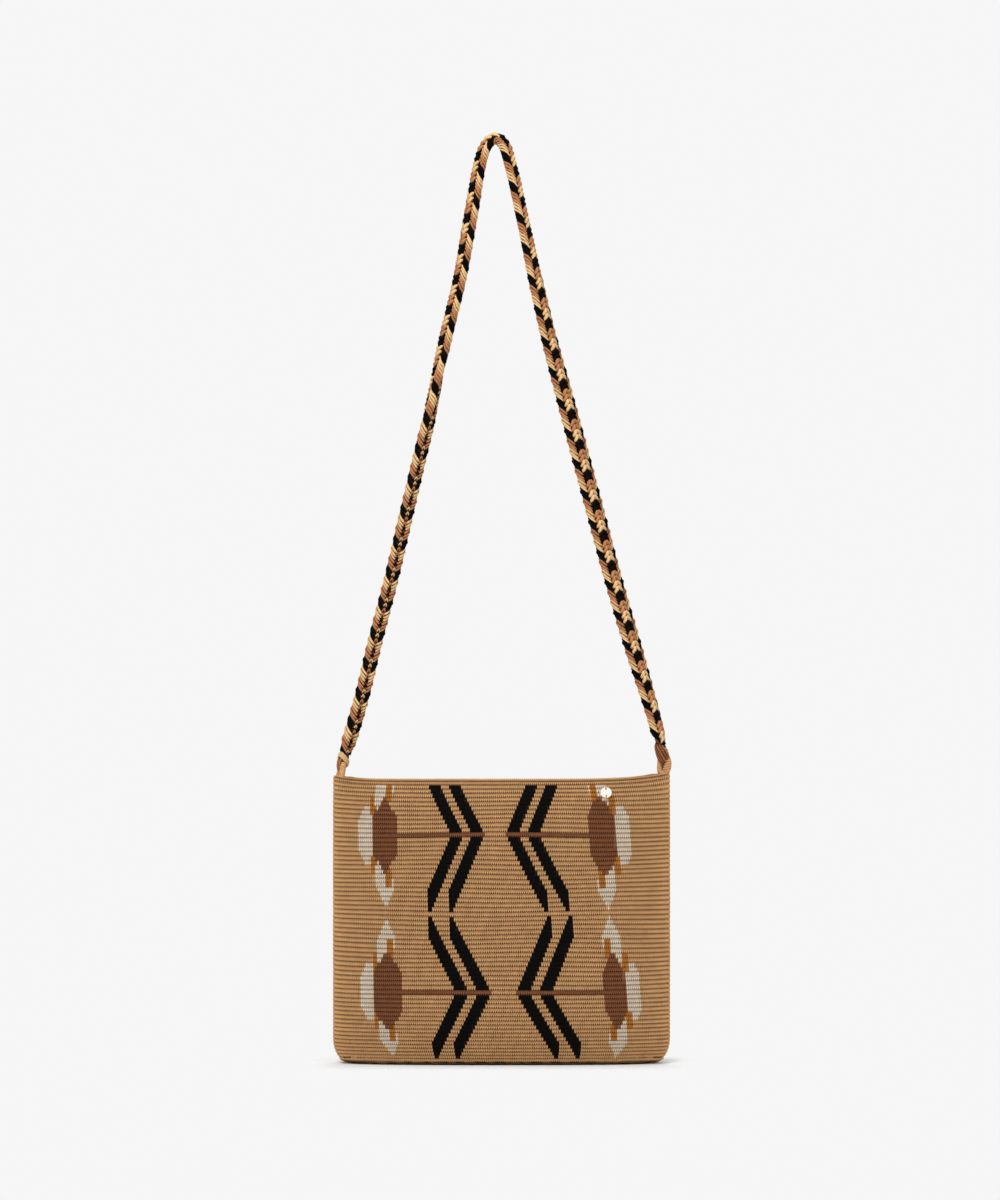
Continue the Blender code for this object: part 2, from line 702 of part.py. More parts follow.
def add_disc(collection, cutters):
    """The disc with its two holes, and the short stitch through each of them."""
    seat = add_disc_seat(collection)
    metal = plain_material("disc_metal", PALE_GOLD, 0.18, 1.0)
    mesh = round_bar("charm_disc", DISC_RADIUS, 0.0, DISC_THICKNESS, DISC_SIDES)
    disc = smooth_object("charm_disc", mesh, collection, metal, METAL_SHARP)
    disc.parent = seat
    edge = disc.modifiers.new("edge", "BEVEL")
    edge.width = DISC_EDGE
    edge.segments = 1
    edge.limit_method = "ANGLE"
    thread = plain_material("disc_thread", OCHRE, 0.8)
    for side, name in ((1, "disc_thread_upper"), (-1, "disc_thread_lower")):
        reach = DISC_THICKNESS * 2
        radius = THREAD_RADIUS + CLEARANCE
        mesh = round_bar(name + "_hole", radius, -reach, 2 * reach, HOLE_SIDES)
        hole = smooth_object(name + "_hole", mesh, cutters, metal, METAL_SHARP)
        hole.parent = seat
        hole.location = (0.0, side * DISC_HOLE_OFFSET, 0.0)
        hole.hide_render = True
        hole.display_type = "WIRE"
        cut(disc, [hole])
        stitch = add_stitch(collection, name, side, thread)
        stitch.parent = seat


def add_stitch(collection, name, side, material):
    """A stitch up through a hole of the disc, over its edge and back down to the fabric."""
    over = DISC_THICKNESS + CLEARANCE + THREAD_RADIUS
    beyond = DISC_RADIUS + CLEARANCE + THREAD_RADIUS
    bend = THREAD_RADIUS / 2
    route = (
        (DISC_HOLE_OFFSET, bend),
        (DISC_HOLE_OFFSET, over - bend),
        (DISC_HOLE_OFFSET + bend, over),
        (beyond - bend, over),
        (beyond, over - bend),
        (beyond, bend),
    )
    curve = bpy.data.curves.new(name, "CURVE")
    curve.dimensions = "3D"
    spline = curve.splines.new("POLY")
    spline.points.add(len(route) - 1)
    for point, (upward, outward) in zip(spline.points, route):
        point.co = (0.0, side * upward, outward, 1.0)
    curve.bevel_depth = THREAD_RADIUS
    curve.bevel_resolution = 2
    curve.use_fill_caps = True
    curve.materials.append(material)
    stitch = bpy.data.objects.new(name, curve)
    collection.objects.link(stitch)
    return stitch


def main():
    """Models the bag, the loops, the strap, its bindings and the disc."""
    clear_scene()
    parts = new_collection(COLLECTION)
    cutters = new_collection("cutters")
    loop_yarn = plain_material("loop_yarn", CAMEL, 0.9)
    seats = add_loops(parts, cutters, loop_yarn)
    add_bag(parts, seats)
    path = StrapPath()
    add_strap(parts, path, seats)
    add_bindings(parts, path)
    add_disc(parts, cutters)


main()
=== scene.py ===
"""The crocheted shoulder bag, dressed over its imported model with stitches, plaited yarn, cords and a disc."""

import logging
import math
from collections.abc import Sequence
from dataclasses import dataclass, field
from enum import Enum
from typing import Any

import bpy
from mathutils import Matrix, Vector


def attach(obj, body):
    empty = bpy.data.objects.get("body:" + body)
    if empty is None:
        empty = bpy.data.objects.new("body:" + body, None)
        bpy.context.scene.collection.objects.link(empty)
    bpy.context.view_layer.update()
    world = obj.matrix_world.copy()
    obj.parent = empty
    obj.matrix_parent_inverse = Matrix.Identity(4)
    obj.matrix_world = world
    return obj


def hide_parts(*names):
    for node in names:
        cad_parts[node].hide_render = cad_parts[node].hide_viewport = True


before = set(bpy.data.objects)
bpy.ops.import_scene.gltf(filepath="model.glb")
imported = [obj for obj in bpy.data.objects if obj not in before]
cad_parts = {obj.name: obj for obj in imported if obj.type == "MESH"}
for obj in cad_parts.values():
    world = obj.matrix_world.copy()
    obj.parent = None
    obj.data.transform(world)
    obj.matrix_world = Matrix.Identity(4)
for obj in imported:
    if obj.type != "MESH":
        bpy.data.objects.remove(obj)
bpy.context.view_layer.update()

LOG = logging.getLogger("mochila")
BODY = "root"
Colour = tuple[float, float, float]
Keys = tuple[tuple[float, float], ...]
Socket = bpy.types.NodeSocket


def from_screen(red: int, green: int, blue: int) -> Colour:
    """Turns a colour in screen values from 0 to 255 into linear light from 0 to 1."""

    def channel(value: int) -> float:
        """One channel in linear light."""
        share = value / 255
        return share / 12.92 if share <= 0.04045 else ((share + 0.055) / 1.055) ** 2.4

    return channel(red), channel(green), channel(blue)


class Yarn(Enum):
    """The yarns of the bag, each named by its slot in the record."""

    CAMEL = "camel_yarn"
    BLACK = "black_yarn"
    BROWN = "brown_yarn"
    CREAM = "cream_yarn"
    OCHRE = "ochre_yarn"
    TERRACOTTA = "terracotta_yarn"
    SAND = "sand_yarn"


class Face(Enum):
    """The two faces of the bag, with the sign of their Y."""

    FRONT = -1
    BACK = 1


class End(Enum):
    """The two ends of the strap, with the sign of their X."""

    LEFT = -1
    RIGHT = 1


# Node trees


class Tree:
    """Builds one node tree: each call adds a node and links or sets its inputs."""

    def __init__(self, tree: bpy.types.NodeTree) -> None:
        """Keeps the tree that the nodes go into."""
        self.tree = tree

    def add(self, kind: str, inputs: dict[Any, Any] | None = None, **settings: Any) -> bpy.types.Node:
        """Adds a node.

        Args:
            kind: The node's type name.
            inputs: Values or output sockets for its inputs, by name or number.
            settings: The node's own properties.

        Returns:
            The new node.
        """
        node = self.tree.nodes.new(kind)
        for name, value in settings.items():
            setattr(node, name, value)
        for key, value in (inputs or {}).items():
            if isinstance(value, Socket):
                self.link(value, node, key)
            else:
                node.inputs[key].default_value = value
        return node

    def link(self, source: Socket, node: bpy.types.Node, key: str | int) -> None:
        """Links an output to a node's input, given by name or number."""
        self.tree.links.new(source, node.inputs[key])

    def math(self, operation: str, first: Any, second: Any = 0.0, third: Any = 0.0) -> Socket:
        """Adds a math node and returns its output."""
        return self.add("ShaderNodeMath", {0: first, 1: second, 2: third}, operation=operation).outputs[0]

    def clamp(self, value: Socket, low: Any = 0.0, high: Any = 1.0) -> Socket:
        """Keeps a number between two limits."""
        return self.math("MINIMUM", self.math("MAXIMUM", value, low), high)

    def ridge(self, place: Any) -> Socket:
        """A row of rounded ridges, one for each unit of the place."""
        return self.math("ABSOLUTE", self.math("SINE", self.math("MULTIPLY", place, math.pi)))

    def vector(self, operation: str, first: Any, second: Any = (0.0, 0.0, 0.0)) -> Socket:
        """Adds a vector math node and returns its vector."""
        return self.add("ShaderNodeVectorMath", {0: first, 1: second}, operation=operation).outputs[0]

    def scaled(self, vector: Any, scale: Any) -> Socket:
        """Multiplies a vector by a number."""
        return self.add("ShaderNodeVectorMath", {0: vector, "Scale": scale}, operation="SCALE").outputs[0]

    def split(self, vector: Any) -> list[Socket]:
        """The three parts of a vector."""
        return list(self.add("ShaderNodeSeparateXYZ", {0: vector}).outputs)

    def mix(self, share: Any, first: Any, second: Any, blend: str = "MIX") -> Socket:
        """Adds a colour mix and returns its colour."""
        inputs = {0: share, 6: first, 7: second}
        return self.add("ShaderNodeMix", inputs, data_type="RGBA", blend_type=blend).outputs[2]

    def dimmed(self, colour: Any, level: Any) -> Socket:
        """Multiplies a colour by a level."""
        grey = self.add("ShaderNodeCombineXYZ", {0: level, 1: level, 2: level}).outputs[0]
        return self.mix(1.0, colour, grey, "MULTIPLY")

    def object_place(self) -> Socket:
        """Where a point lies on its object."""
        return self.add("ShaderNodeTexCoord").outputs["Object"]

    def map_place(self, name: str) -> list[Socket]:
        """Where a point lies on a named map."""
        return self.split(self.add("ShaderNodeUVMap", uv_map=name).outputs[0])

    def painted(self, name: str, output: str = "Fac") -> Socket:
        """A named value or colour of the mesh, for a shader."""
        return self.add("ShaderNodeAttribute", attribute_name=name).outputs[output]

    def stored(self, name: str, kind: str = "FLOAT_VECTOR") -> Socket:
        """A named value of the points, for a geometry tree."""
        return self.add("GeometryNodeInputNamedAttribute", {"Name": name}, data_type=kind).outputs[0]

    def scattered(self, spread: float, seed: Socket) -> Socket:
        """A random vector, up to the spread each way."""
        inputs = {0: (-spread,) * 3, 1: (spread,) * 3, "Seed": seed}
        return self.add("FunctionNodeRandomValue", inputs, data_type="FLOAT_VECTOR").outputs[0]

    def noise(self, place: Any, scale: float, detail: float = 2.0) -> Socket:
        """Adds a noise texture and returns its value."""
        return self.add("ShaderNodeTexNoise", {"Vector": place, "Scale": scale, "Detail": detail}).outputs[0]

    def bump(self, height: Socket, strength: float, distance: float) -> Socket:
        """Turns a height into a bent normal."""
        inputs = {"Strength": strength, "Distance": distance, "Height": height}
        return self.add("ShaderNodeBump", inputs).outputs[0]


def open_group(
    name: str, kind: str, inputs: dict[str, Sequence[str]], outputs: dict[str, Sequence[str]]
) -> tuple[Tree, bpy.types.Node, bpy.types.Node]:
    """Starts a node group with named sockets.

    Args:
        name: The group's name.
        kind: "Shader" or "Geometry".
        inputs: The names of its inputs under each kind of socket, such as "Float".
        outputs: The names of its outputs in the same way.

    Returns:
        The tree builder, the group's input node and its output node.
    """
    group = bpy.data.node_groups.new(name, kind + "NodeTree")
    for way, sockets in (("INPUT", inputs), ("OUTPUT", outputs)):
        for socket, labels in sockets.items():
            for label in labels:
                group.interface.new_socket(label, in_out=way, socket_type="NodeSocket" + socket)
    tree = Tree(group)
    return tree, tree.add("NodeGroupInput"), tree.add("NodeGroupOutput")


def open_material(name: str, values: dict[str, Any]) -> tuple[bpy.types.Material, Tree, bpy.types.Node]:
    """Starts a material.

    Args:
        name: The material's name.
        values: Constant values for its shader, by input name.

    Returns:
        The material, the builder of its tree and its shader.
    """
    material = bpy.data.materials.new(name)
    material.use_nodes = True
    shader = material.node_tree.nodes["Principled BSDF"]
    for label, value in values.items():
        shader.inputs[label].default_value = value
    return material, Tree(material.node_tree), shader


def grow(
    name: str, start: bpy.types.Mesh, group: bpy.types.NodeTree, values: dict[str, Any]
) -> bpy.types.Mesh:
    """Runs a geometry node tree on a mesh and keeps the result as a plain mesh.

    Args:
        name: The finished mesh's name.
        start: The mesh that the tree reads.
        group: The geometry node tree.
        values: The tree's inputs by name.

    Returns:
        The finished smooth mesh.
    """
    seed = bpy.data.objects.new(name + "_seed", start)
    bpy.context.scene.collection.objects.link(seed)
    modifier = seed.modifiers.new("grow", "NODES")
    modifier.node_group = group
    for item in group.interface.items_tree:
        if item.item_type == "SOCKET" and item.in_out == "INPUT" and item.name in values:
            modifier[item.identifier] = values[item.name]
    graph = bpy.context.evaluated_depsgraph_get()
    graph.update()
    evaluated = seed.evaluated_get(graph)
    mesh = bpy.data.meshes.new_from_object(evaluated, preserve_all_data_layers=True, depsgraph=graph)
    mesh.name = name
    mesh.shade_smooth()
    seed.modifiers.remove(modifier)
    bpy.data.objects.remove(seed, do_unlink=True)
    return mesh


def show(name: str, mesh: bpy.types.Mesh) -> bpy.types.Object:
    """Puts a finished mesh into the scene under its piece's name."""
    piece = bpy.data.objects.new(name, mesh)
    bpy.context.scene.collection.objects.link(piece)
    return piece


def settle(name: str, mesh: bpy.types.Mesh, node: str) -> None:
    """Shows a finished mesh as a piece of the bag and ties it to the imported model.

    Args:
        name: The piece's name.
        mesh: Its mesh.
        node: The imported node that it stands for.
    """
    piece = show(name, mesh)
    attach(piece, BODY)
    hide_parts(node)
    mesh.calc_loop_triangles()
    LOG.info("%s: %d triangles", piece.name, len(mesh.loop_triangles))


# Finishes


@dataclass(frozen=True)
class SpunCotton:
    """The shared look of spun cotton: plies, loose fibres and uneven dye, with painted light: shade low down
    and between plies, the yarn's colour at crests and a highlight on the fibres there.

    Attributes:
        fibre_scale, dye_scale: How fine the fibres and the patches of dye are.
        crest_power: How late the painted shade gives way to the yarn's colour on the way up to a crest.
        highlight_from, highlight_gain: The fibres' height from which a painted highlight lights them, and how
            fast it grows.
        tone_spread, dye_spread: How much lighter or darker a yarn and a patch may be.
        ply_height, fibre_height: How far plies and fibres stand out.
    """

    fibre_scale: float = 5200.0
    dye_scale: float = 90.0
    crest_power: float = 1.2
    highlight_from: float = 0.40
    highlight_gain: float = 2.2
    tone_spread: float = 0.17
    dye_spread: float = 0.35
    ply_height: float = 0.6
    fibre_height: float = 0.5

    def group(self) -> bpy.types.NodeTree:
        """The group that puts out a yarn's colour, with its painted light and shade, and the height of its
        surface, made once.
        """
        found = bpy.data.node_groups.get("spun_cotton")
        if found:
            return found
        tree, given, result = open_group(
            "spun_cotton",
            "Shader",
            {"Color": ("Base", "Light", "Shade"), "Float": ("Turn", "Plies", "Ply Depth")},
            {"Color": ("Color",), "Float": ("Height",)},
        )
        ask = given.outputs
        place = tree.object_place()
        along, around, _ = tree.map_place("yarn")
        shifted = tree.math("MULTIPLY", around, ask["Plies"])
        turns = tree.math("ADD", tree.math("DIVIDE", along, ask["Turn"]), shifted)
        ply = tree.math("SINE", tree.math("MULTIPLY", tree.math("FRACT", turns), math.pi))
        fibres = tree.noise(place, self.fibre_scale, 1.0)
        dye = tree.noise(place, self.dye_scale)
        # Painted light and shade: the shade colour low on each stitch and yarn and in the lines between plies,
        # giving way to the yarn's colour at crests.
        crest = tree.painted("crest")
        ply_shade = tree.math("MULTIPLY", tree.math("SUBTRACT", 1.0, ply), ask["Ply Depth"])
        lit = tree.math("SUBTRACT", tree.math("POWER", crest, self.crest_power), ply_shade)
        colour = tree.mix(tree.math("MAXIMUM", lit, 0.0), ask["Shade"], ask["Base"])
        # Painted highlight: the fibres on the crests turn towards the light colour.
        fibre_highlight = tree.math("MAXIMUM", tree.math("SUBTRACT", fibres, self.highlight_from), 0.0)
        fibre_highlight = tree.math("MULTIPLY", tree.math("MULTIPLY", fibre_highlight, self.highlight_gain), crest)
        colour = tree.mix(fibre_highlight, colour, ask["Light"])
        patches = tree.math("MULTIPLY", tree.math("SUBTRACT", dye, 0.5), self.dye_spread)
        uneven = tree.math("ADD", tree.math("MULTIPLY", tree.painted("tone"), self.tone_spread), patches)
        colour = tree.dimmed(colour, tree.math("ADD", uneven, 1.0))
        fibres = tree.math("MULTIPLY", fibres, self.fibre_height)
        tree.link(colour, result, "Color")
        tree.link(tree.math("ADD", tree.math("MULTIPLY", ply, self.ply_height), fibres), result, "Height")
        return tree.tree


@dataclass(frozen=True)
class YarnFinish:
    """How one colour of cotton yarn looks.

    Attributes:
        yarn: The yarn and its slot in the record.
        base: The yarn's own colour.
        light: The painted highlight on its raised fibres at the crests.
        shade: The painted shade deep between its stitches, low on its legs and between its plies.
        sheen: How strongly its loose fibres catch the light.
        gloss: How strongly its surface reflects.
        roughness, sheen_roughness: How dull the surface and the sheen are.
        bump_distance: The height that the bump stands for, in metres.
    """

    yarn: Yarn
    base: Colour
    light: Colour
    shade: Colour
    sheen: float = 0.25
    gloss: float = 0.25
    roughness: float = 0.88
    sheen_roughness: float = 0.45
    bump_distance: float = 0.0002

    def material(
        self, turn: float = 0.0034, plies: float = 3.0, ply_depth: float = 0.35, bump: float = 0.35
    ) -> bpy.types.Material:
        """Makes the material for one use of the yarn.

        Args:
            turn: The length of one turn of the plies, in metres.
            plies: How many plies the yarn has.
            ply_depth: How dark the painted shade in the line between two plies is.
            bump: How strongly plies and fibres catch the light.

        Returns:
            The finished material.
        """
        name = f"{self.yarn.value}_{round(turn * 1e5)}_{round(plies)}"
        found = bpy.data.materials.get(name)
        if found:
            return found
        tints = {"Base": self.base, "Light": self.light, "Shade": self.shade}
        surface = {
            "Roughness": self.roughness,
            "Specular IOR Level": self.gloss,
            "Sheen Weight": self.sheen,
            "Sheen Roughness": self.sheen_roughness,
            "Sheen Tint": (*self.light, 1.0),
        }
        material, tree, shader = open_material(name, surface)
        cotton = tree.add("ShaderNodeGroup", node_tree=SpunCotton().group())
        values = {"Turn": turn, "Plies": plies, "Ply Depth": ply_depth}
        for label, value in (values | {label: (*tint, 1.0) for label, tint in tints.items()}).items():
            cotton.inputs[label].default_value = value
        tree.link(cotton.outputs["Color"], shader, "Base Color")
        tree.link(tree.bump(cotton.outputs["Height"], bump, self.bump_distance), shader, "Normal")
        return material


# The base colour, painted highlight and painted shade of each yarn, as screen values
TINTS = {
    Yarn.CAMEL: ((213, 158, 103), (245, 201, 145), (78, 47, 20)),
    Yarn.BLACK: ((10, 9, 8), (24, 21, 19), (5, 4, 4)),
    Yarn.BROWN: ((134, 78, 43), (162, 106, 70), (48, 25, 11)),
    Yarn.CREAM: ((228, 211, 187), (246, 236, 218), (146, 122, 94)),
    Yarn.OCHRE: ((186, 112, 34), (210, 142, 62), (112, 62, 18)),
    Yarn.TERRACOTTA: ((180, 116, 72), (210, 150, 104), (78, 44, 22)),
    Yarn.SAND: ((228, 184, 126), (246, 216, 166), (120, 82, 44)),
}
DULL = {Yarn.BLACK: {"sheen": 0.0, "gloss": 0.04}}
FINISHES = {
    yarn: YarnFinish(yarn, *(from_screen(*tint) for tint in tints), **DULL.get(yarn, {}))
    for yarn, tints in TINTS.items()
}


@dataclass(frozen=True)
class MetalFinish:
    """The polished pale metal of the small disc.

    Attributes:
        colour: The metal's colour.
        roughness: How dull it is where it is most polished.
        mark_scale, mark_stretch: How fine the wiping marks are, and how much finer across them.
        mark_roughness: How much duller the marks are.
        mark_strength, mark_depth: How strongly they bend the light, and how deep they are in metres.
    """

    colour: Colour = (0.98, 0.96, 0.90)
    roughness: float = 0.07
    mark_scale: float = 900.0
    mark_stretch: float = 9.0
    mark_roughness: float = 0.14
    mark_strength: float = 0.06
    mark_depth: float = 0.0001

    def material(self) -> bpy.types.Material:
        """Makes the polished metal, with fine wiping marks."""
        surface = {"Base Color": (*self.colour, 1.0), "Metallic": 1.0}
        material, tree, shader = open_material("polished_disc", surface)
        stretched = tree.vector("MULTIPLY", tree.object_place(), (1.0, 1.0, self.mark_stretch))
        marks = tree.noise(stretched, self.mark_scale, 3.0)
        tree.link(tree.math("MULTIPLY_ADD", marks, self.mark_roughness, self.roughness), shader, "Roughness")
        tree.link(tree.bump(marks, self.mark_strength, self.mark_depth), shader, "Normal")
        return material


# Yarn as tubes


@dataclass
class Strands:
    """Collects tubes of yarn into one mesh, each with a map along and round it.

    Attributes:
        sides: The number of sides of each tube.
        lead: How far round the first edge lies, in sides.
        points, faces, corners: The mesh so far, with the map of each face's corners.
        tones, crests: How light each point's yarn is, and the painted light at each point: full on the tube's
            outer side, painted shade on its sides and underside.
    """

    sides: int = 6
    lead: float = 0.5
    points: list[Vector] = field(default_factory=list)
    faces: list[tuple[int, ...]] = field(default_factory=list)
    corners: list[tuple[float, float]] = field(default_factory=list)
    tones: list[float] = field(default_factory=list)
    crests: list[float] = field(default_factory=list)

    def add(
        self,
        route: Sequence[Vector],
        radius: float | Sequence[float],
        facing: Sequence[Vector],
        flat: float = 1.0,
        tone: float = 0.0,
        closed: bool = False,
        taper: float = 0.55,
    ) -> None:
        """Adds one tube of yarn.

        Args:
            route: The points that it runs through.
            radius: Its radius across, the same all along or one for each point.
            facing: The outward direction at each point.
            flat: Its depth as a share of its width.
            tone: How light or dark it is beside its neighbours, from -1 to 1.
            closed: Whether its end joins its start.
            taper: The share of the radius at an open end.
        """
        count = len(route)
        first = len(self.points)
        lengths = [0.0]
        for before, after in zip(route, [*route[1:], route[0]]):
            lengths.append(lengths[-1] + (after - before).length)
        for i, centre in enumerate(route):
            before = route[i - 1] if i or closed else centre
            after = route[(i + 1) % count] if i < count - 1 or closed else centre
            along = (after - before).normalized()
            outward = (facing[i] - along * facing[i].dot(along)).normalized()
            aside = along.cross(outward)
            size = radius if isinstance(radius, float) else radius[i]
            size *= taper if not closed and i in (0, count - 1) else 1.0
            for side in range(self.sides):
                turn = 2 * math.pi * (side + self.lead) / self.sides
                self.points.append(centre + (aside * math.cos(turn) + outward * math.sin(turn) * flat) * size)
                # Painted shade on the tube's sides and underside, full colour on its outer side.
                self.crests.append(0.1 + 0.9 * max(0.0, math.sin(turn)))
                self.tones.append(tone)
        for i in range(count if closed else count - 1):
            for side in range(self.sides):
                beside = (side + 1) % self.sides
                here, there = first + i * self.sides, first + (i + 1) % count * self.sides
                self.faces.append((here + side, here + beside, there + beside, there + side))
                low, high = side / self.sides, (side + 1) / self.sides
                u, v = lengths[i], lengths[i + 1]
                self.corners += [(u, low), (u, high), (v, high), (v, low)]
        if not closed:
            last = first + (count - 1) * self.sides
            self.faces.append(tuple(reversed(range(first, first + self.sides))))
            self.faces.append(tuple(range(last, last + self.sides)))
            self.corners += [(0.0, 0.5)] * self.sides + [(lengths[count - 1], 0.5)] * self.sides

    def mesh(self, name: str, material: bpy.types.Material | None = None) -> bpy.types.Mesh:
        """Turns the tubes into a mesh.

        Args:
            name: The mesh's name.
            material: The yarn's material, if it has one yet.

        Returns:
            The mesh, with its map and its tone and crest values.
        """
        mesh = bpy.data.meshes.new(name)
        mesh.from_pydata(self.points, [], self.faces)
        layer = mesh.uv_layers.new(name="yarn")
        layer.data.foreach_set("uv", [value for corner in self.corners for value in corner])
        for label, values in (("tone", self.tones), ("crest", self.crests)):
            mesh.attributes.new(label, "FLOAT", "POINT").data.foreach_set("value", values)
        mesh.shade_smooth()
        if material:
            mesh.materials.append(material)
        return mesh


# The crocheted bag


@dataclass
class BagForm:
    """The form of the crocheted fabric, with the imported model's own sizes, in metres.

    Attributes:
        half_length, half_depth: Half the outline's length and depth.
        rim_draw_in, rim_half_depth: What the rim loses in length, and half its depth.
        rim_height: The rim's height at mid front.
        turn_height, turn_inset, turn_angle: The turn from the wall into the base.
        low_corner_height, low_corner_inset: The rounded lower corners.
        closing_height, closing_loss: The part below the rim where the faces close, and the height it costs.
        squareness, rim_squareness: The powers of the outline low down and at the rim.
        wall_rounds, turn_rounds, rise_rounds: The rounds of the wall, of the turn and of the raised corners.
        face_stitches: The stitches of one face.
        corner_rise, corner_sharpness: The raised left and right corners of the rim.
        loose_rounds: The rounds in which unevenness fades out, near the rim and near the turn.
        drift, drift_waves: How far the rounds wander in height, and the waves by share and round.
        ripple, ripple_waves: How deep the soft dents are, and their waves.
        measure_steps: The straight steps in which a round is measured.
    """

    half_length: float = 0.1352
    rim_draw_in: float = 0.0002
    half_depth: float = 0.0250
    rim_half_depth: float = 0.0105
    rim_height: float = 0.2255
    turn_height: float = 0.0528
    turn_inset: float = 0.010
    turn_angle: float = math.radians(45.0)
    low_corner_height: float = 0.020
    low_corner_inset: float = 0.0135
    closing_height: float = 0.060
    closing_loss: float = 0.0036
    squareness: float = 2.5
    rim_squareness: float = 4.0
    wall_rounds: int = 48
    turn_rounds: int = 17
    rise_rounds: int = 12
    face_stitches: int = 172
    corner_rise: tuple[float, float] = (0.0036, 0.0058)
    corner_sharpness: tuple[float, float] = (9.0, 5.0)
    loose_rounds: float = 8.0
    drift: float = 0.0007
    drift_waves: tuple[float, float] = (4.2, 0.21)
    ripple: float = 0.0010
    ripple_waves: tuple[float, float] = (7.0, 0.16)
    measure_steps: int = 120

    @property
    def pitch(self) -> float:
        """The height of one round."""
        return (self.rim_height - self.turn_height + self.closing_loss) / self.wall_rounds

    @property
    def side_rounds(self) -> int:
        """The rounds of the wall and the turn together."""
        return self.wall_rounds + self.turn_rounds

    def turn_at(self, number: float) -> float:
        """The angle that the wall has turned through towards the base at this round."""
        return self.turn_angle * max(0.0, min(1.0, (number - self.wall_rounds) / self.turn_rounds))

    def round_height(self, number: float) -> float:
        """The height at mid front of the line that this many rounds lie above."""
        if number >= self.wall_rounds:
            return self.turn_height * (1.0 - math.sin(self.turn_at(number)) / math.sin(self.turn_angle))
        left = max(0.0, 1.0 - number / self.rise_rounds)
        return self.rim_height - number * self.pitch + self.closing_loss * (1.0 - left**2)

    def base_inset(self, number: float) -> float:
        """How far the flat rounds of the base have drawn the outline in at this round."""
        return self.pitch * max(0.0, number - self.side_rounds)

    def face_inset(self, number: float) -> float:
        """How far the front and the back have turned in towards the base at this round."""
        turned = (1.0 - math.cos(self.turn_at(number))) / (1.0 - math.cos(self.turn_angle))
        return self.turn_inset * turned + self.base_inset(number)

    def end_inset(self, number: float) -> float:
        """How far the rounded lower corners have drawn the ends in at this round."""
        below = max(0.0, 1.0 - self.round_height(number) / self.low_corner_height)
        return self.low_corner_inset * (1.0 - math.sqrt(1.0 - below**2)) + self.base_inset(number)

    def point(
        self, share: float, number: float, face: Face, inward: float = 0.0, sewn: float = 0.0
    ) -> Vector:
        """A point of the wall.

        Args:
            share: Its place along the half length, from -1 to 1.
            number: The rounds above it.
            face: The face that it lies on.
            inward: How far inside the outline it lies.
            sewn: How far the ends are drawn in by the sewn corners.

        Returns:
            The point, in metres.
        """
        below = (self.rim_height - self.round_height(number)) / self.closing_height
        closed = max(0.0, 1.0 - below) ** 3
        long = self.half_length - self.rim_draw_in * closed - self.end_inset(number) - inward - sewn
        deep = self.half_depth + (self.rim_half_depth - self.half_depth) * closed
        deep -= self.face_inset(number) + inward
        power = self.squareness + (self.rim_squareness - self.squareness) * closed
        depth = deep * max(0.0, 1.0 - abs(share) ** power) ** (1.0 / power)
        side = 1 if share > 0 else 0
        rise = self.corner_rise[side] * abs(share) ** self.corner_sharpness[side]
        height = self.round_height(number) + rise * max(0.0, 1.0 - number / self.rise_rounds) ** 2
        above_turn = (self.wall_rounds - number) / self.loose_rounds
        loose = max(0.0, min(1.0, number / self.loose_rounds, above_turn))
        drift = math.sin(self.drift_waves[0] * share + self.drift_waves[1] * number + face.value)
        dent = 1.0 + math.sin(self.ripple_waves[0] * share + self.ripple_waves[1] * number)
        height += self.drift * loose * drift
        depth -= self.ripple * loose * (1.0 - share * share) * dent / 2
        return Vector((share * long, face.value * depth, height))

    def step(
        self, span: tuple[float, float], rounds: tuple[float, float], face: Face, inward: float
    ) -> Vector:
        """The way from one point of the wall to another, at the same depth.

        Args:
            span: The shares of the half length that it runs from and to.
            rounds: The rounds that it runs from and to.
            face: The face that it lies on.
            inward: How far inside the outline it lies.

        Returns:
            The way, in metres.
        """
        return self.point(span[1], rounds[1], face, inward) - self.point(span[0], rounds[0], face, inward)

    def shares(self, number: float, face: Face, stitches: Sequence[float]) -> list[float]:
        """Where stitches stand along a face.

        Args:
            number: The round.
            face: The face.
            stitches: Places in stitches from mid face, forward round the bag.

        Returns:
            The share of the half length for each of them.
        """
        steps = self.measure_steps
        turns = [-math.cos(math.pi * i / steps) for i in range(steps + 1)]
        if face is Face.BACK:
            turns.reverse()
        points = [self.point(turn, number, face) for turn in turns]
        lengths = [0.0]
        for before, after in zip(points, points[1:]):
            lengths.append(lengths[-1] + (after - before).length)
        found = []
        at = 0
        for stitch in stitches:
            target = (stitch / self.face_stitches + 0.5) * lengths[-1]
            while at < steps - 1 and lengths[at + 1] < target:
                at += 1
            part = (target - lengths[at]) / (lengths[at + 1] - lengths[at])
            found.append(turns[at] + (turns[at + 1] - turns[at]) * min(1.0, max(0.0, part)))
        return found


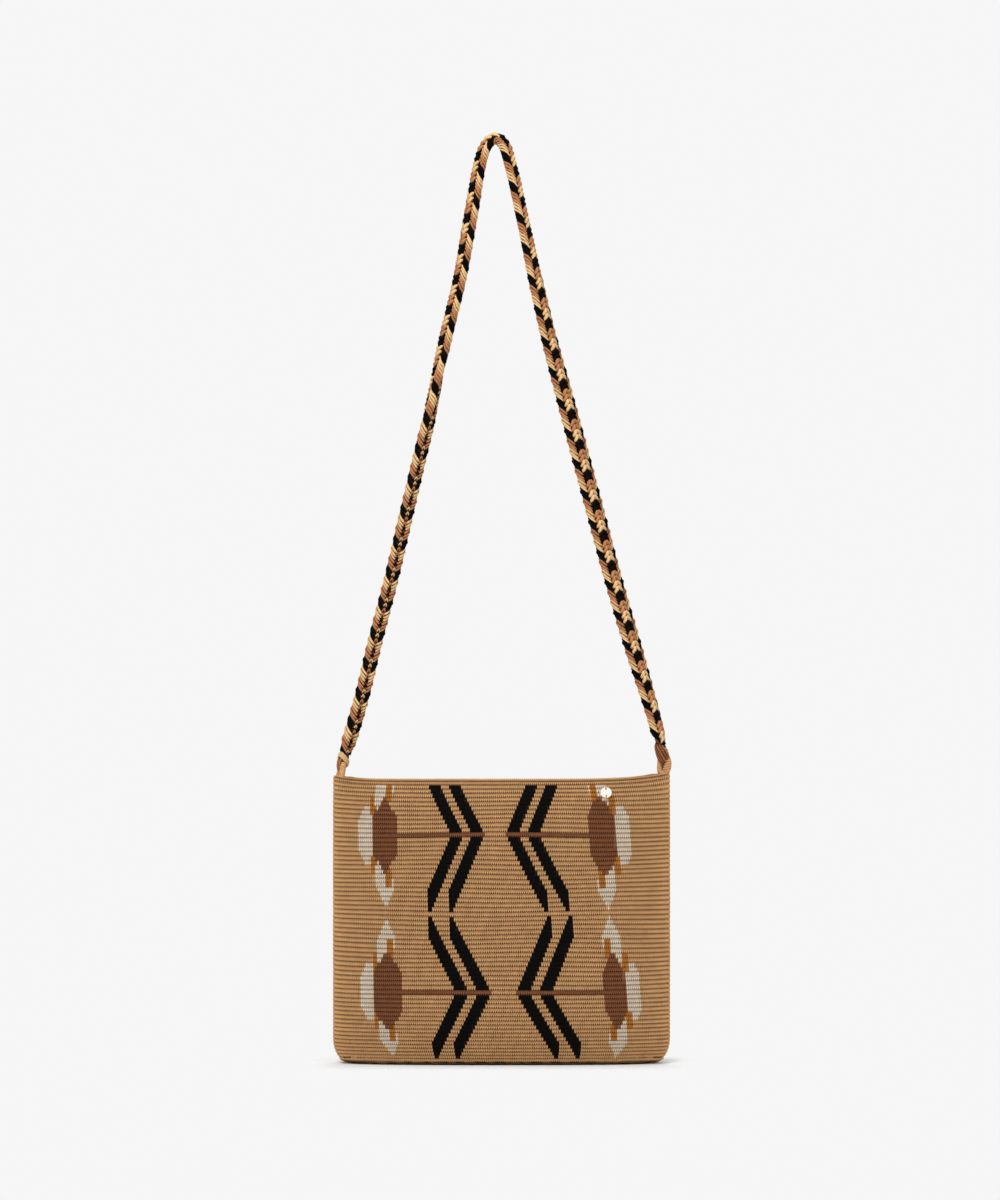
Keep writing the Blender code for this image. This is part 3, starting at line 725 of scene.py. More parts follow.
@dataclass
class Motif:
    """The coloured fields of the fabric, as rules on stitches and rounds.

    Attributes:
        brown_rounds: The single brown rounds that the fields mirror about.
        band_round: The round from which the second brown round rules.
        stripe_starts: The inner edges of the left and right stripes at each brown round.
        lens_centres: The middle of the left and right lens.
        lens_halves: Half the width of the left and right lens at each brown round.
        stripe, gap: The width of a black stripe, and what lies between two.
        reach: The rounds that the fields reach from their brown round.
        tip: The rounds after which a stripe is cut off upright.
        edge_round: The round of black dashes at the base's edge.
        dash_repeat, dash: The dashes' spacing and their length.
        skip_repeat, skip: The spacing and length of the places where one is cut short.
    """

    brown_rounds: tuple[int, int] = (12, 46)
    band_round: int = 29
    stripe_starts: Keys = ((-8.0, 2.0), (-8.0, 3.0))
    lens_centres: tuple[float, float] = (-56.0, 48.5)
    lens_halves: Keys = ((5.8, 6.8), (7.1, 6.0))
    stripe: float = 6.0
    gap: float = 4.0
    reach: int = 16
    tip: int = 12
    edge_round: int = 64
    dash_repeat: float = 9.0
    dash: float = 5.4
    skip_repeat: float = 23.0
    skip: float = 2.5

    def yarn(self, stitch: float, number: int) -> Yarn:
        """The yarn of one stitch.

        Args:
            stitch: Its place in stitches from mid face.
            number: Its round.

        Returns:
            The yarn that it is worked in.
        """
        if number >= self.edge_round - 1:
            dashed = stitch % self.dash_repeat < self.dash and stitch % self.skip_repeat > self.skip
            return Yarn.BLACK if number == self.edge_round and dashed else Yarn.CAMEL
        band = 0 if number < self.band_round else 1
        step = abs(number - self.brown_rounds[band])
        if number == 0 or step > self.reach:
            return Yarn.CAMEL
        side = 1 if stitch > sum(self.stripe_starts[band]) / 2 else 0
        outward = abs(stitch) - abs(self.lens_centres[side])
        figure = self.side_yarn(outward, step, self.lens_halves[band][side])
        if figure is not None:
            return figure
        past = (stitch - self.stripe_starts[band][side]) * (2 * side - 1)
        if step == 0:
            return Yarn.BROWN if past > 0 and outward < 0 else Yarn.CAMEL
        for first in (0.0, self.stripe + self.gap):
            if first + step <= past < first + self.stripe + min(step, self.tip):
                return Yarn.BLACK
        return Yarn.CAMEL

    @staticmethod
    def side_yarn(outward: float, step: int, half: float) -> Yarn | None:
        """The yarn of a stitch in the figure beside the stripes.

        Args:
            outward: Stitches outward from the lens's middle.
            step: Rounds from the brown round.
            half: Half the width of the lens, in stitches.

        Returns:
            The yarn, or None where the ground shows.
        """
        lens = half if step <= 4 else half - 1.2 * (step - 4)
        if abs(outward) < lens and step <= 8:
            return Yarn.BROWN
        hook_low = 4.2 if step == 6 else 4.8
        if 5 <= step <= 8 and hook_low < outward < 7.1:
            return Yarn.OCHRE
        past = max(0, step - 3)
        if step <= 6 and half <= outward < half + 6.9 - 0.55 * past - 0.1 * past * past:
            return Yarn.CREAM
        if 8 <= step <= 11 and -3.1 < outward < -0.3:
            return Yarn.OCHRE
        if 6 <= step <= 11 and -0.3 <= outward < min(5.0, 3.3 + 0.7 * (step - 5)):
            return Yarn.CREAM
        if 10 <= step <= 11 and -4.3 < outward < -3.1:
            return Yarn.CREAM
        if step >= 12 and abs(outward) < 4.5 - 1.05 * (step - 12):
            return Yarn.CREAM
        return None


@dataclass(frozen=True)
class StitchPlace:
    """Where one stitch sits on the fabric."""

    at: Vector
    across: Vector
    up: Vector
    size: Vector


@dataclass
class CrochetBag:
    """The bag itself: single stitches over a ridged fabric, open at the top.

    Attributes:
        form: The form of the fabric.
        motif: Its coloured fields.
        lean: How far the stitches lean forward from one round to the next, in stitches.
        spread: How far a stitch fans out from the middle in each round, as a share of its distance.
        lean_round: The round at which they stand upright over each other.
        relief: The height of a stitch above the fabric behind it.
        wall, skin: The fabric's thickness, and how deep it lies behind the stitches.
        ridge: The height of the ridges inside.
        rim_drop: How far the fabric's top edge lies below the rim.
        base_lift: How far the fabric lies above the ground.
        sewn_corner: How far the sewn corners draw in the opening's ends.
        base_rounds: The rounds worked under the base.
        rim_chain_end: The share of the half length that the rim's chain reaches.
        end_width, least_width: The width of the stitches at the bag's ends, and the least of any other.
        leg_route, leg_radius, leg_flat, leg_taper: One leg of a stitch, for a stitch one unit wide and high.
        worn: The painted light at each point of a leg, darker at its foot in the groove.
        groove: The share of that painted light on the inner sides of a leg, which are in painted shade.
        unevenness: How much one stitch's size differs from the next one's.
        seed: The seed of that difference.
    """

    form: BagForm = field(default_factory=BagForm)
    motif: Motif = field(default_factory=Motif)
    lean: float = 0.11
    spread: float = 0.0021
    lean_round: float = 12.0
    relief: float = 0.0016
    wall: float = 0.0030
    skin: float = 0.0009
    ridge: float = 0.0005
    rim_drop: float = 0.0004
    base_lift: float = 0.0006
    sewn_corner: float = 0.0120
    base_rounds: int = 2
    rim_chain_end: float = 0.988
    end_width: float = 0.0024
    least_width: float = 0.0009
    leg_route: tuple[Colour, ...] = ((0.04, -0.62, -0.38), (0.21, 0.02, 0.10), (0.30, 0.57, -0.30))
    leg_radius: float = 0.20
    leg_flat: float = 2.8
    leg_taper: float = 0.6
    worn: tuple[float, ...] = (0.25, 1.0, 0.8)
    groove: float = 0.6
    unevenness: float = 0.05
    seed: int = 7

    def stitch_mesh(self) -> bpy.types.Mesh:
        """One stitch as a V of two plump legs, one unit wide and one high, which every stitch repeats."""
        stitch = Strands(sides=3, lead=0.25)
        facing = [Vector((0.0, 0.0, 1.0))] * len(self.leg_route)
        for side in (-1, 1):
            leg = [Vector((side * x, y, z)) for x, y, z in self.leg_route]
            stitch.add(leg, self.leg_radius, facing, flat=self.leg_flat, taper=self.leg_taper)
        # Painted light along each leg, dark at its foot, with painted shade on its inner sides.
        worn = [level for level in self.worn for _ in range(stitch.sides)] * 2
        stitch.crests = [
            level * (1.0 if crest > 0.5 else self.groove) for level, crest in zip(worn, stitch.crests)
        ]
        stitch.corners = [(u * self.form.pitch, v) for u, v in stitch.corners]
        return stitch.mesh("stitch")

    @staticmethod
    def stitch_tree() -> bpy.types.NodeTree:
        """The geometry node tree that works one stitch on each point of a field."""
        tree, given, result = open_group(
            "stitches_on_points",
            "Geometry",
            {
                "Geometry": ("Geometry",),
                "Object": ("Stitch",),
                "Float": ("Unevenness",),
                "Int": ("Seed",),
                "Material": ("Yarn",),
            },
            {"Geometry": ("Geometry",)},
        )
        ask = given.outputs
        across = tree.stored("across")
        outward = tree.vector("CROSS_PRODUCT", across, tree.stored("up"))
        axes = {"Primary Axis": outward, "Secondary Axis": across}
        turned = tree.add("FunctionNodeAxesToRotation", axes, primary_axis="Z", secondary_axis="X").outputs[0]
        source = tree.add("GeometryNodeObjectInfo", {"Object": ask["Stitch"]}).outputs["Geometry"]
        uneven = tree.scaled(tree.scattered(1.0, ask["Seed"]), ask["Unevenness"])
        size = tree.vector("MULTIPLY", tree.stored("size"), tree.vector("ADD", (1.0, 1.0, 1.0), uneven))
        points = tree.add("GeometryNodeMeshToPoints", {"Mesh": ask["Geometry"]}).outputs[0]
        limits = {2: -1.0, 3: 1.0, "Seed": ask["Seed"]}
        tone = tree.add("FunctionNodeRandomValue", limits, data_type="FLOAT").outputs[1]
        stitches = {"Points": points, "Instance": source, "Rotation": turned, "Scale": size}
        placed = tree.add("GeometryNodeInstanceOnPoints", stitches).outputs[0]
        toned = tree.add(
            "GeometryNodeStoreNamedAttribute",
            {"Geometry": placed, "Name": "tone", "Value": tone},
            data_type="FLOAT",
            domain="INSTANCE",
        ).outputs[0]
        real = tree.add("GeometryNodeRealizeInstances", {0: toned}).outputs[0]
        dressed = tree.add("GeometryNodeSetMaterial", {"Geometry": real, "Material": ask["Yarn"]}).outputs[0]
        tree.link(dressed, result, 0)
        return tree.tree

    def fields(self) -> dict[tuple[Yarn, Face, int], list[StitchPlace]]:
        """Sorts the places of every stitch of the fabric by yarn, face and band."""
        found: dict[tuple[Yarn, Face, int], list[StitchPlace]] = {}
        form = self.form
        half = form.face_stitches / 2
        wide = [i + 0.5 for i in range(-2 * form.face_stitches, 2 * form.face_stitches)]
        for number in range(form.side_rounds + self.base_rounds):
            grid = [stitch for stitch in wide if -half <= self.fanned(stitch, number) < half]
            for face in Face:
                middles, ahead, behind = (
                    form.shares(number + 0.5, face, [self.fanned(stitch + shift, number) for stitch in grid])
                    for shift in (0.0, 0.5, -0.5)
                )
                for stitch, middle, fore, aft in zip(grid, middles, ahead, behind):
                    yarn = self.motif.yarn(stitch, number)
                    band = 0 if number < self.motif.band_round or yarn is not Yarn.CAMEL else 1
                    place = self.place(number, face, middle, fore, aft)
                    found.setdefault((yarn, face, band), []).append(place)
        for number in range(form.side_rounds):
            for end in End:
                found[Yarn.CAMEL, Face.FRONT, 0].append(self.end_place(number, end))
        return found

    def end_place(self, number: int, end: End) -> StitchPlace:
        """The place of the stitch at an end of the bag, where the two faces meet."""
        side = float(end.value)
        depth = self.relief * 0.5
        at = self.form.point(side, number + 0.5, Face.FRONT, depth)
        up = self.form.step((side, side), (number + 1.0, number), Face.FRONT, depth)
        size = Vector((self.end_width, up.length, self.relief))
        return StitchPlace(at, Vector((0.0, side, 0.0)), up.normalized(), size)

    def fanned(self, stitch: float, number: float) -> float:
        """Where a stitch of the grid stands in a round, in even steps from mid face."""
        half = self.form.face_stitches / 2
        fan = 0.0 if abs(stitch) >= half else self.spread * stitch * (1.0 - (stitch / half) ** 2)
        return stitch + (number - self.lean_round) * (self.lean + fan)

    def place(self, number: int, face: Face, middle: float, fore: float, aft: float) -> StitchPlace:
        """The place of one stitch above the ground, from the shares of its middle and its two sides."""
        form = self.form
        depth = self.relief * 0.5
        at = form.point(middle, number + 0.5, face, depth)
        across = form.step((aft, fore), (number + 0.5, number + 0.5), face, depth)
        up = form.step((middle, middle), (number + 1.0, number), face, depth)
        if number >= form.side_rounds:
            at.z += depth
        at.z = max(at.z, abs(up.z) * 0.65 + abs(across.z) * 0.5 + self.relief * 0.75)
        size = Vector((max(self.least_width, across.length), up.length, self.relief))
        return StitchPlace(at, across.normalized(), up.normalized(), size)

    def rim_places(self) -> list[StitchPlace]:
        """The places of the chain that finishes the rim, which lies along its top."""
        form = self.form
        half = form.face_stitches / 2
        inward = self.wall * 0.45
        places = []
        for face in Face:
            shares = form.shares(0.0, face, [i - half for i in range(form.face_stitches + 1)])
            for aft, fore in zip(shares, shares[1:]):
                middle = (fore + aft) / 2
                if abs(middle) > self.rim_chain_end:
                    continue
                at = form.point(middle, 0.0, face, inward)
                at.z += self.relief * 0.35
                across = form.step((aft, fore), (0.0, 0.0), face, inward)
                up = form.point(middle, 0.0, face, self.wall) - form.point(middle, 0.0, face, 0.0)
                if across.cross(up).z < 0:
                    up = -up
                size = Vector((max(self.least_width, across.length), self.wall * 1.15, self.relief * 1.1))
                places.append(StitchPlace(at, across.normalized(), up.normalized(), size))
        return places

    @staticmethod
    def cloud(name: str, places: Sequence[StitchPlace]) -> bpy.types.Mesh:
        """The points that a field's stitches are worked on, with their directions and sizes."""
        mesh = bpy.data.meshes.new(name)
        mesh.from_pydata([place.at for place in places], [], [])
        for label in ("across", "up", "size"):
            layer = mesh.attributes.new(label, "FLOAT_VECTOR", "POINT")
            layer.data.foreach_set("vector", [value for place in places for value in getattr(place, label)])
        return mesh

    def ring(self, number: float, inward: float, sewn: float = 0.0, lift: float = 0.0) -> list[Vector]:
        """One ring of the fabric, with a point for every second stitch."""
        form = self.form
        steps = [2 * i - form.face_stitches / 2 for i in range(form.face_stitches // 2)]
        return [
            form.point(share, number, face, inward, sewn) + Vector((0.0, 0.0, lift))
            for face in Face
            for share in form.shares(number, face, steps)
        ]

    def rings(self) -> list[tuple[list[Vector], float]]:
        """The fabric's rings and their rounds, from the floor inside over the rim to the base outside."""
        form = self.form
        found = []
        for half in range(2 * form.side_rounds, 0, -1):
            number = half / 2
            inward = self.wall - (0.0 if half % 2 else self.ridge)
            sewn = self.sewn_corner if number <= form.rise_rounds else 0.0
            lift = self.wall * max(0.0, number - form.wall_rounds) / form.turn_rounds
            found.append((self.ring(number, inward, sewn, lift), number))
        found.append((self.ring(0.0, self.wall * 0.75, self.sewn_corner, -self.rim_drop), 0.0))
        for number in range(form.side_rounds + self.base_rounds + 1):
            lift = self.base_lift if number >= form.side_rounds else 0.0
            found.append((self.ring(float(number), self.skin, 0.0, lift), float(number)))
        return found

    def fabric(self) -> bpy.types.Mesh:
        """The fabric behind the stitches, ridged by its rounds inside, coloured by the yarn of each stitch and
        painted in its shade where it shows between the stitches.

        Returns:
            One closed mesh with a stitch map and a colour on each face: the yarn's own colour inside and over
            the rim, the yarn's painted shade behind the stitches and on the two caps.
        """
        form = self.form
        columns = form.face_stitches // 2
        size = 2 * columns
        rings = self.rings()
        faces, corners, colours = [], [], []
        for level in range(len(rings) - 1):
            down, far = rings[level][1], rings[level + 1][1]
            number = int(min(down, far))
            for i in range(size):
                j = (i + 1) % size
                here, there = level * size, (level + 1) * size
                faces.append((here + j, here + i, there + i, there + j))
                stitch = (i % columns + 0.5) * 2 - form.face_stitches / 2
                stitch -= self.fanned(stitch, number) - stitch
                yarn = FINISHES[self.motif.yarn(round(stitch) + 0.5, number)]
                # Painted shade: behind the stitches the fabric takes its yarn's shade colour; inside and over
                # the rim, the yarn's own colour.
                tint = yarn.base if level <= 2 * form.side_rounds else yarn.shade
                colours += [(*tint, 1.0)] * 4
                low, high = (i % columns) * 2.0, (i % columns) * 2.0 + 2.0
                corners += [(high, down), (low, down), (low, far), (high, far)]
        floor = tuple(range(size))
        under = tuple(reversed(range((len(rings) - 1) * size, len(rings) * size)))
        # Painted shade: both caps, the floor inside and the underside, take the camel's shade colour.
        for cap in (floor, under):
            faces.append(cap)
            colours += [(*FINISHES[Yarn.CAMEL].shade, 1.0)] * size
            corners += [(0.0, 0.0)] * size
        mesh = bpy.data.meshes.new("fabric")
        mesh.from_pydata([point for points, _ in rings for point in points], [], faces)
        layer = mesh.uv_layers.new(name="stitch_and_round")
        layer.data.foreach_set("uv", [value for corner in corners for value in corner])
        layer = mesh.color_attributes.new("worked_yarn", "FLOAT_COLOR", "CORNER")
        layer.data.foreach_set("color", [value for colour in colours for value in colour])
        mesh.shade_smooth()
        mesh.materials.append(self.fabric_material())
        return mesh

    @staticmethod
    def fabric_material() -> bpy.types.Material:
        """The fabric's reverse: carried yarn in bars across each round, with painted shade between the bars."""
        surface = {"Roughness": 0.92, "Specular IOR Level": 0.2}
        material, tree, shader = open_material("worked_fabric", surface)
        across, down, _ = tree.map_place("stitch_and_round")
        bars = tree.ridge(tree.math("MULTIPLY_ADD", down, 0.4, across))
        raised = tree.math("MULTIPLY", bars, tree.ridge(down))
        fibres = tree.noise(tree.object_place(), 3800.0)
        # Painted shade between the raised bars, flecked by the fibres.
        lit = tree.math("MULTIPLY_ADD", raised, 0.6, 0.4)
        lit = tree.math("MULTIPLY", lit, tree.math("MULTIPLY_ADD", fibres, 0.5, 0.75))
        height = tree.math("ADD", raised, tree.math("MULTIPLY", fibres, 0.3))
        tree.link(tree.dimmed(tree.painted("worked_yarn", "Color"), lit), shader, "Base Color")
        tree.link(tree.bump(height, 0.6, 0.0005), shader, "Normal")
        return material

    def build(self) -> None:
        """Makes the fabric and all its stitches."""
        settle("bag_fabric", self.fabric(), "bag_body")
        stitch = bpy.data.objects.new("stitch_source", self.stitch_mesh())
        tree = self.stitch_tree()
        values = {"Stitch": stitch, "Unevenness": self.unevenness, "Seed": self.seed}
        groups = {
            f"stitches_{yarn.name.lower()}_{face.name.lower()}" + ("_lower" if band else ""): (yarn, places)
            for (yarn, face, band), places in self.fields().items()
        }
        groups["stitches_rim_chain"] = (Yarn.CAMEL, self.rim_places())
        for name, (yarn, places) in groups.items():
            material = FINISHES[yarn].material()
            mesh = grow(name, self.cloud(name, places), tree, values | {"Yarn": material})
            settle(name, mesh, "bag_body")
        bpy.data.objects.remove(stitch)


# The loops at the corners


@dataclass
class CornerLoop:
    """A crocheted cord loop that joins the strap to a corner of the rim.

    Attributes:
        end: The corner that it is sewn to.
        form: The bag's form, whose corner it is sewn into.
        width, cord_radius: The loop's width and its cord's radius.
        belows: How far below the rim the left and the right one start.
        heights, insets: Their heights, and how far they stand in from the bag's ends.
        tilts, turns: How far they lean inward and are turned round, in degrees.
        plies, ply_turns: The cord's plies, and how often they turn round it.
        ply_offset, ply_radius: Their distance from its middle and their radius, as shares of its own.
        steps: The points round the loop.
        whip_span: Where the whipping starts and ends, as shares of the loop's height from its middle.
        whip_rounds, whip_steps: How often it goes round, and the points of one round.
        whip_reach, whip_taper: Its distance from the cord's middle in cord radii, and what the ends lose of it.
        whip_bend, whip_radius: How far its ends bend inward, and its yarn's radius.
    """

    end: End
    form: BagForm = field(default_factory=BagForm)
    width: float = 0.0112
    cord_radius: float = 0.0021
    belows: tuple[float, float] = (0.0062, 0.0024)
    heights: tuple[float, float] = (0.0190, 0.0175)
    insets: tuple[float, float] = (0.0052, 0.0056)
    tilts: tuple[float, float] = (8.5, -3.0)
    turns: tuple[float, float] = (70.0, -35.0)
    plies: int = 3
    ply_turns: int = 9
    ply_offset: float = 0.58
    ply_radius: float = 0.68
    steps: int = 96
    whip_span: tuple[float, float] = (-0.30, 0.38)
    whip_rounds: int = 9
    whip_steps: int = 12
    whip_reach: float = 1.26
    whip_taper: float = 0.34
    whip_bend: float = 0.0012
    whip_radius: float = 0.0007

    @property
    def height(self) -> float:
        """The loop's whole height at this end."""
        return self.own(self.heights)

    def own(self, pair: tuple[float, float]) -> float:
        """This end's value of a left and a right one."""
        return pair[0 if self.end is End.LEFT else 1]

    def axes(self) -> tuple[Vector, Vector, Vector]:
        """The loop's middle, its sideways direction and its upward direction."""
        side = self.end.value
        corner = self.form.point(float(side), 0.0, Face.FRONT)
        lean = math.radians(self.own(self.tilts))
        up = Vector((-side * math.sin(lean), 0.0, math.cos(lean)))
        bottom = Vector((corner.x - side * self.own(self.insets), 0.0, corner.z - self.own(self.belows)))
        turned = math.radians(self.own(self.turns))
        across = Vector((side * math.cos(turned), math.sin(turned), 0.0))
        across = (across - up * across.dot(up)).normalized()
        return bottom + up * self.height / 2, across, up

    def eye(self) -> Vector:
        """Where the top of the cord runs through the strap's eye."""
        middle, _, up = self.axes()
        return middle + up * (self.height / 2 - self.cord_radius)

    def route(self) -> list[tuple[Vector, Vector]]:
        """Points round the loop's cord, each with its outward direction."""
        middle, across, up = self.axes()
        bend = self.width / 2 - self.cord_radius
        straight = self.height / 2 - self.cord_radius - bend
        arc = math.pi * bend
        found = []
        for i in range(self.steps):
            travel = (2 * arc + 4 * straight) * i / self.steps
            half = 1 if travel <= arc + 2 * straight else -1
            travel -= 0.0 if half == 1 else arc + 2 * straight
            if travel <= arc:
                angle = travel / bend
                outward = (across * math.cos(angle) + up * math.sin(angle)) * half
                found.append((middle + up * half * straight + outward * bend, outward))
            else:
                side = across * -half
                found.append((middle + side * bend + up * half * (straight - (travel - arc)), side))
        return found

    def cord(self) -> Strands:
        """The loop's twisted plies."""
        cord = Strands()
        route = self.route()
        _, across, up = self.axes()
        through = across.cross(up)
        for ply in range(self.plies):
            points, facing = [], []
            for i, (centre, outward) in enumerate(route):
                angle = 2 * math.pi * (ply / self.plies + self.ply_turns * i / len(route))
                facing.append(outward * math.cos(angle) + through * math.sin(angle))
                points.append(centre + facing[-1] * self.cord_radius * self.ply_offset)
            cord.add(points, self.cord_radius * self.ply_radius, facing, tone=0.3 * (ply - 1), closed=True)
        return cord

    def whipping(self) -> Strands:
        """The yarn wound round the loop's outer limb."""
        whipping = Strands()
        middle, across, up = self.axes()
        through = across.cross(up)
        low, high = self.whip_span
        points, facing = [], []
        for i in range(self.whip_rounds * self.whip_steps + 1):
            share = i / (self.whip_rounds * self.whip_steps)
            angle = 2 * math.pi * self.whip_rounds * share
            edge = abs(2 * share - 1) ** 3
            limb = middle + across * (self.width / 2 - self.cord_radius - self.whip_bend * edge)
            limb += up * (low + (high - low) * share) * self.height
            facing.append(across * math.cos(angle) + through * math.sin(angle))
            points.append(limb + facing[-1] * self.cord_radius * (self.whip_reach - self.whip_taper * edge))
        whipping.add(points, self.whip_radius, facing)
        return whipping

    def build(self) -> None:
        """Makes the loop, and on the right one the whipping."""
        name = "strap_loop_" + self.end.name.lower()
        material = FINISHES[Yarn.CAMEL].material(turn=0.0016, plies=2.0, ply_depth=0.3)
        settle(name, self.cord().mesh(name, material), name)
        if self.end is End.RIGHT:
            extra = name + "_whipping"
            settle(extra, self.whipping().mesh(extra, material), name)


# The strap


@dataclass
class StrapRoute:
    """The strap's middle line with the direction of its ridged face.

    Attributes:
        loops: The loops at its two ends.
        eye_below: How far it goes on past the middle of each eye.
        steps: The steps of the smooth line between two points.
        rim_height: The height that the route's heights count from.
        route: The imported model's points between the eyes, as x and height over the rim.
        twist: How far its face has turned from the outside of its bend, in degrees, at shares of its length.
        breadth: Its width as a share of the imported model's, at shares of its length.
    """

    loops: dict[End, CornerLoop]
    eye_below: float = 0.0048
    steps: int = 24
    rim_height: float = 0.2255
    route: Keys = (
        *((-0.1124, 0.0645), (-0.1008, 0.1125), (-0.0884, 0.1605), (-0.0772, 0.2085), (-0.0660, 0.2565)),
        *((-0.0544, 0.3045), (-0.0448, 0.3525), (-0.0336, 0.4005), (-0.0252, 0.4485), (-0.0196, 0.4805)),
        *((-0.0160, 0.4965), (-0.0118, 0.5075), (-0.0048, 0.5131), (0.0018, 0.5075), (0.0054, 0.4965)),
        *((0.0096, 0.4805), (0.0164, 0.4485), (0.0272, 0.4005), (0.0384, 0.3525), (0.0512, 0.3045)),
        *((0.0640, 0.2565), (0.0768, 0.2085), (0.0896, 0.1605), (0.1036, 0.1125), (0.1180, 0.0645)),
        (0.1241, 0.0425),
    )
    twist: Keys = (
        *((0.00, 52.0), (0.03, 52.0), (0.07, 78.0), (0.17, 78.0), (0.26, 62.0), (0.30, 15.0), (0.34, -32.0)),
        *((0.44, -42.0), (0.50, -16.0), (0.57, -18.0), (0.63, -46.0), (0.71, -60.0), (0.90, -64.0)),
        *((0.97, -42.0), (1.00, -35.0)),
    )
    breadth: Keys = (
        *((0.00, 1.0), (0.07, 0.84), (0.25, 0.80), (0.34, 0.95)),
        *((0.62, 1.0), (0.76, 1.12), (0.88, 1.08), (1.00, 0.95)),
    )

    def __post_init__(self) -> None:
        """Runs the smooth line through the route and measures it."""
        ends = [self.loops[End.LEFT].eye(), self.loops[End.RIGHT].eye()]
        knots = [ends[0]] + [Vector((x, 0.0, self.rim_height + rise)) for x, rise in self.route] + [ends[1]]
        start = knots[0] + (knots[0] - knots[1]).normalized() * self.eye_below
        finish = knots[-1] + (knots[-1] - knots[-2]).normalized() * self.eye_below
        knots = [start] + knots + [finish]
        self.points: list[Vector] = []
        for i in range(len(knots) - 1):
            before, after = knots[max(0, i - 1)], knots[min(len(knots) - 1, i + 2)]
            for step in range(self.steps):
                self.points.append(self.between(before, knots[i], knots[i + 1], after, step / self.steps))
        self.points.append(knots[-1])
        self.lengths = [0.0]
        for first, second in zip(self.points, self.points[1:]):
            self.lengths.append(self.lengths[-1] + (second - first).length)

    @property
    def length(self) -> float:
        """The strap's whole length."""
        return self.lengths[-1]

    @staticmethod
    def between(before: Vector, start: Vector, end: Vector, after: Vector, share: float) -> Vector:
        """A point of the smooth curve that runs through start and end."""
        square, cube = share**2, share**3
        curve = start * 2 + (end - before) * share
        curve += (before * 2 - start * 5 + end * 4 - after) * square
        curve += (start * 3 - before - end * 3 + after) * cube
        return curve / 2

    @staticmethod
    def eased(keys: Keys, share: float) -> float:
        """The value between the two keys round a share of the length."""
        for (start, low), (end, high) in zip(keys, keys[1:]):
            if share <= end:
                part = (share - start) / (end - start)
                return low + (high - low) * part * part * (3 - 2 * part)
        return keys[-1][1]

    def axes(self, index: int, distance: float) -> tuple[Vector, Vector]:
        """The directions along the strap and out of its ridged face, at a point and its distance."""
        along = self.points[min(index + 1, len(self.points) - 1)] - self.points[max(index - 1, 0)]
        along.normalize()
        turned = math.radians(self.eased(self.twist, distance / self.length))
        level = Vector((-along.z, 0.0, along.x))
        outward = level * math.cos(turned) + Vector((0.0, 1.0, 0.0)) * math.sin(turned)
        return along, outward

    def guide(self) -> bpy.types.Object:
        """The line as an object whose points hold the direction of the ridged face and the width."""
        mesh = bpy.data.meshes.new("strap_guide")
        mesh.from_pydata(self.points, [(i, i + 1) for i in range(len(self.points) - 1)], [])
        facing = [value for i, distance in enumerate(self.lengths) for value in self.axes(i, distance)[1]]
        mesh.attributes.new("facing", "FLOAT_VECTOR", "POINT").data.foreach_set("vector", facing)
        breadth = [self.eased(self.breadth, distance / self.length) for distance in self.lengths]
        mesh.attributes.new("breadth", "FLOAT", "POINT").data.foreach_set("value", breadth)
        return bpy.data.objects.new("strap_guide", mesh)

    def frame_at(self, distance: float) -> Matrix:
        """The strap's frame at a distance: X along it, Y across it and Z out of its ridged face."""
        index = min(range(len(self.lengths)), key=lambda i: abs(self.lengths[i] - distance))
        along, outward = self.axes(index, distance)
        turn = Matrix((along, along.cross(outward), outward)).transposed().to_4x4()
        return Matrix.Translation(self.points[index]) @ turn


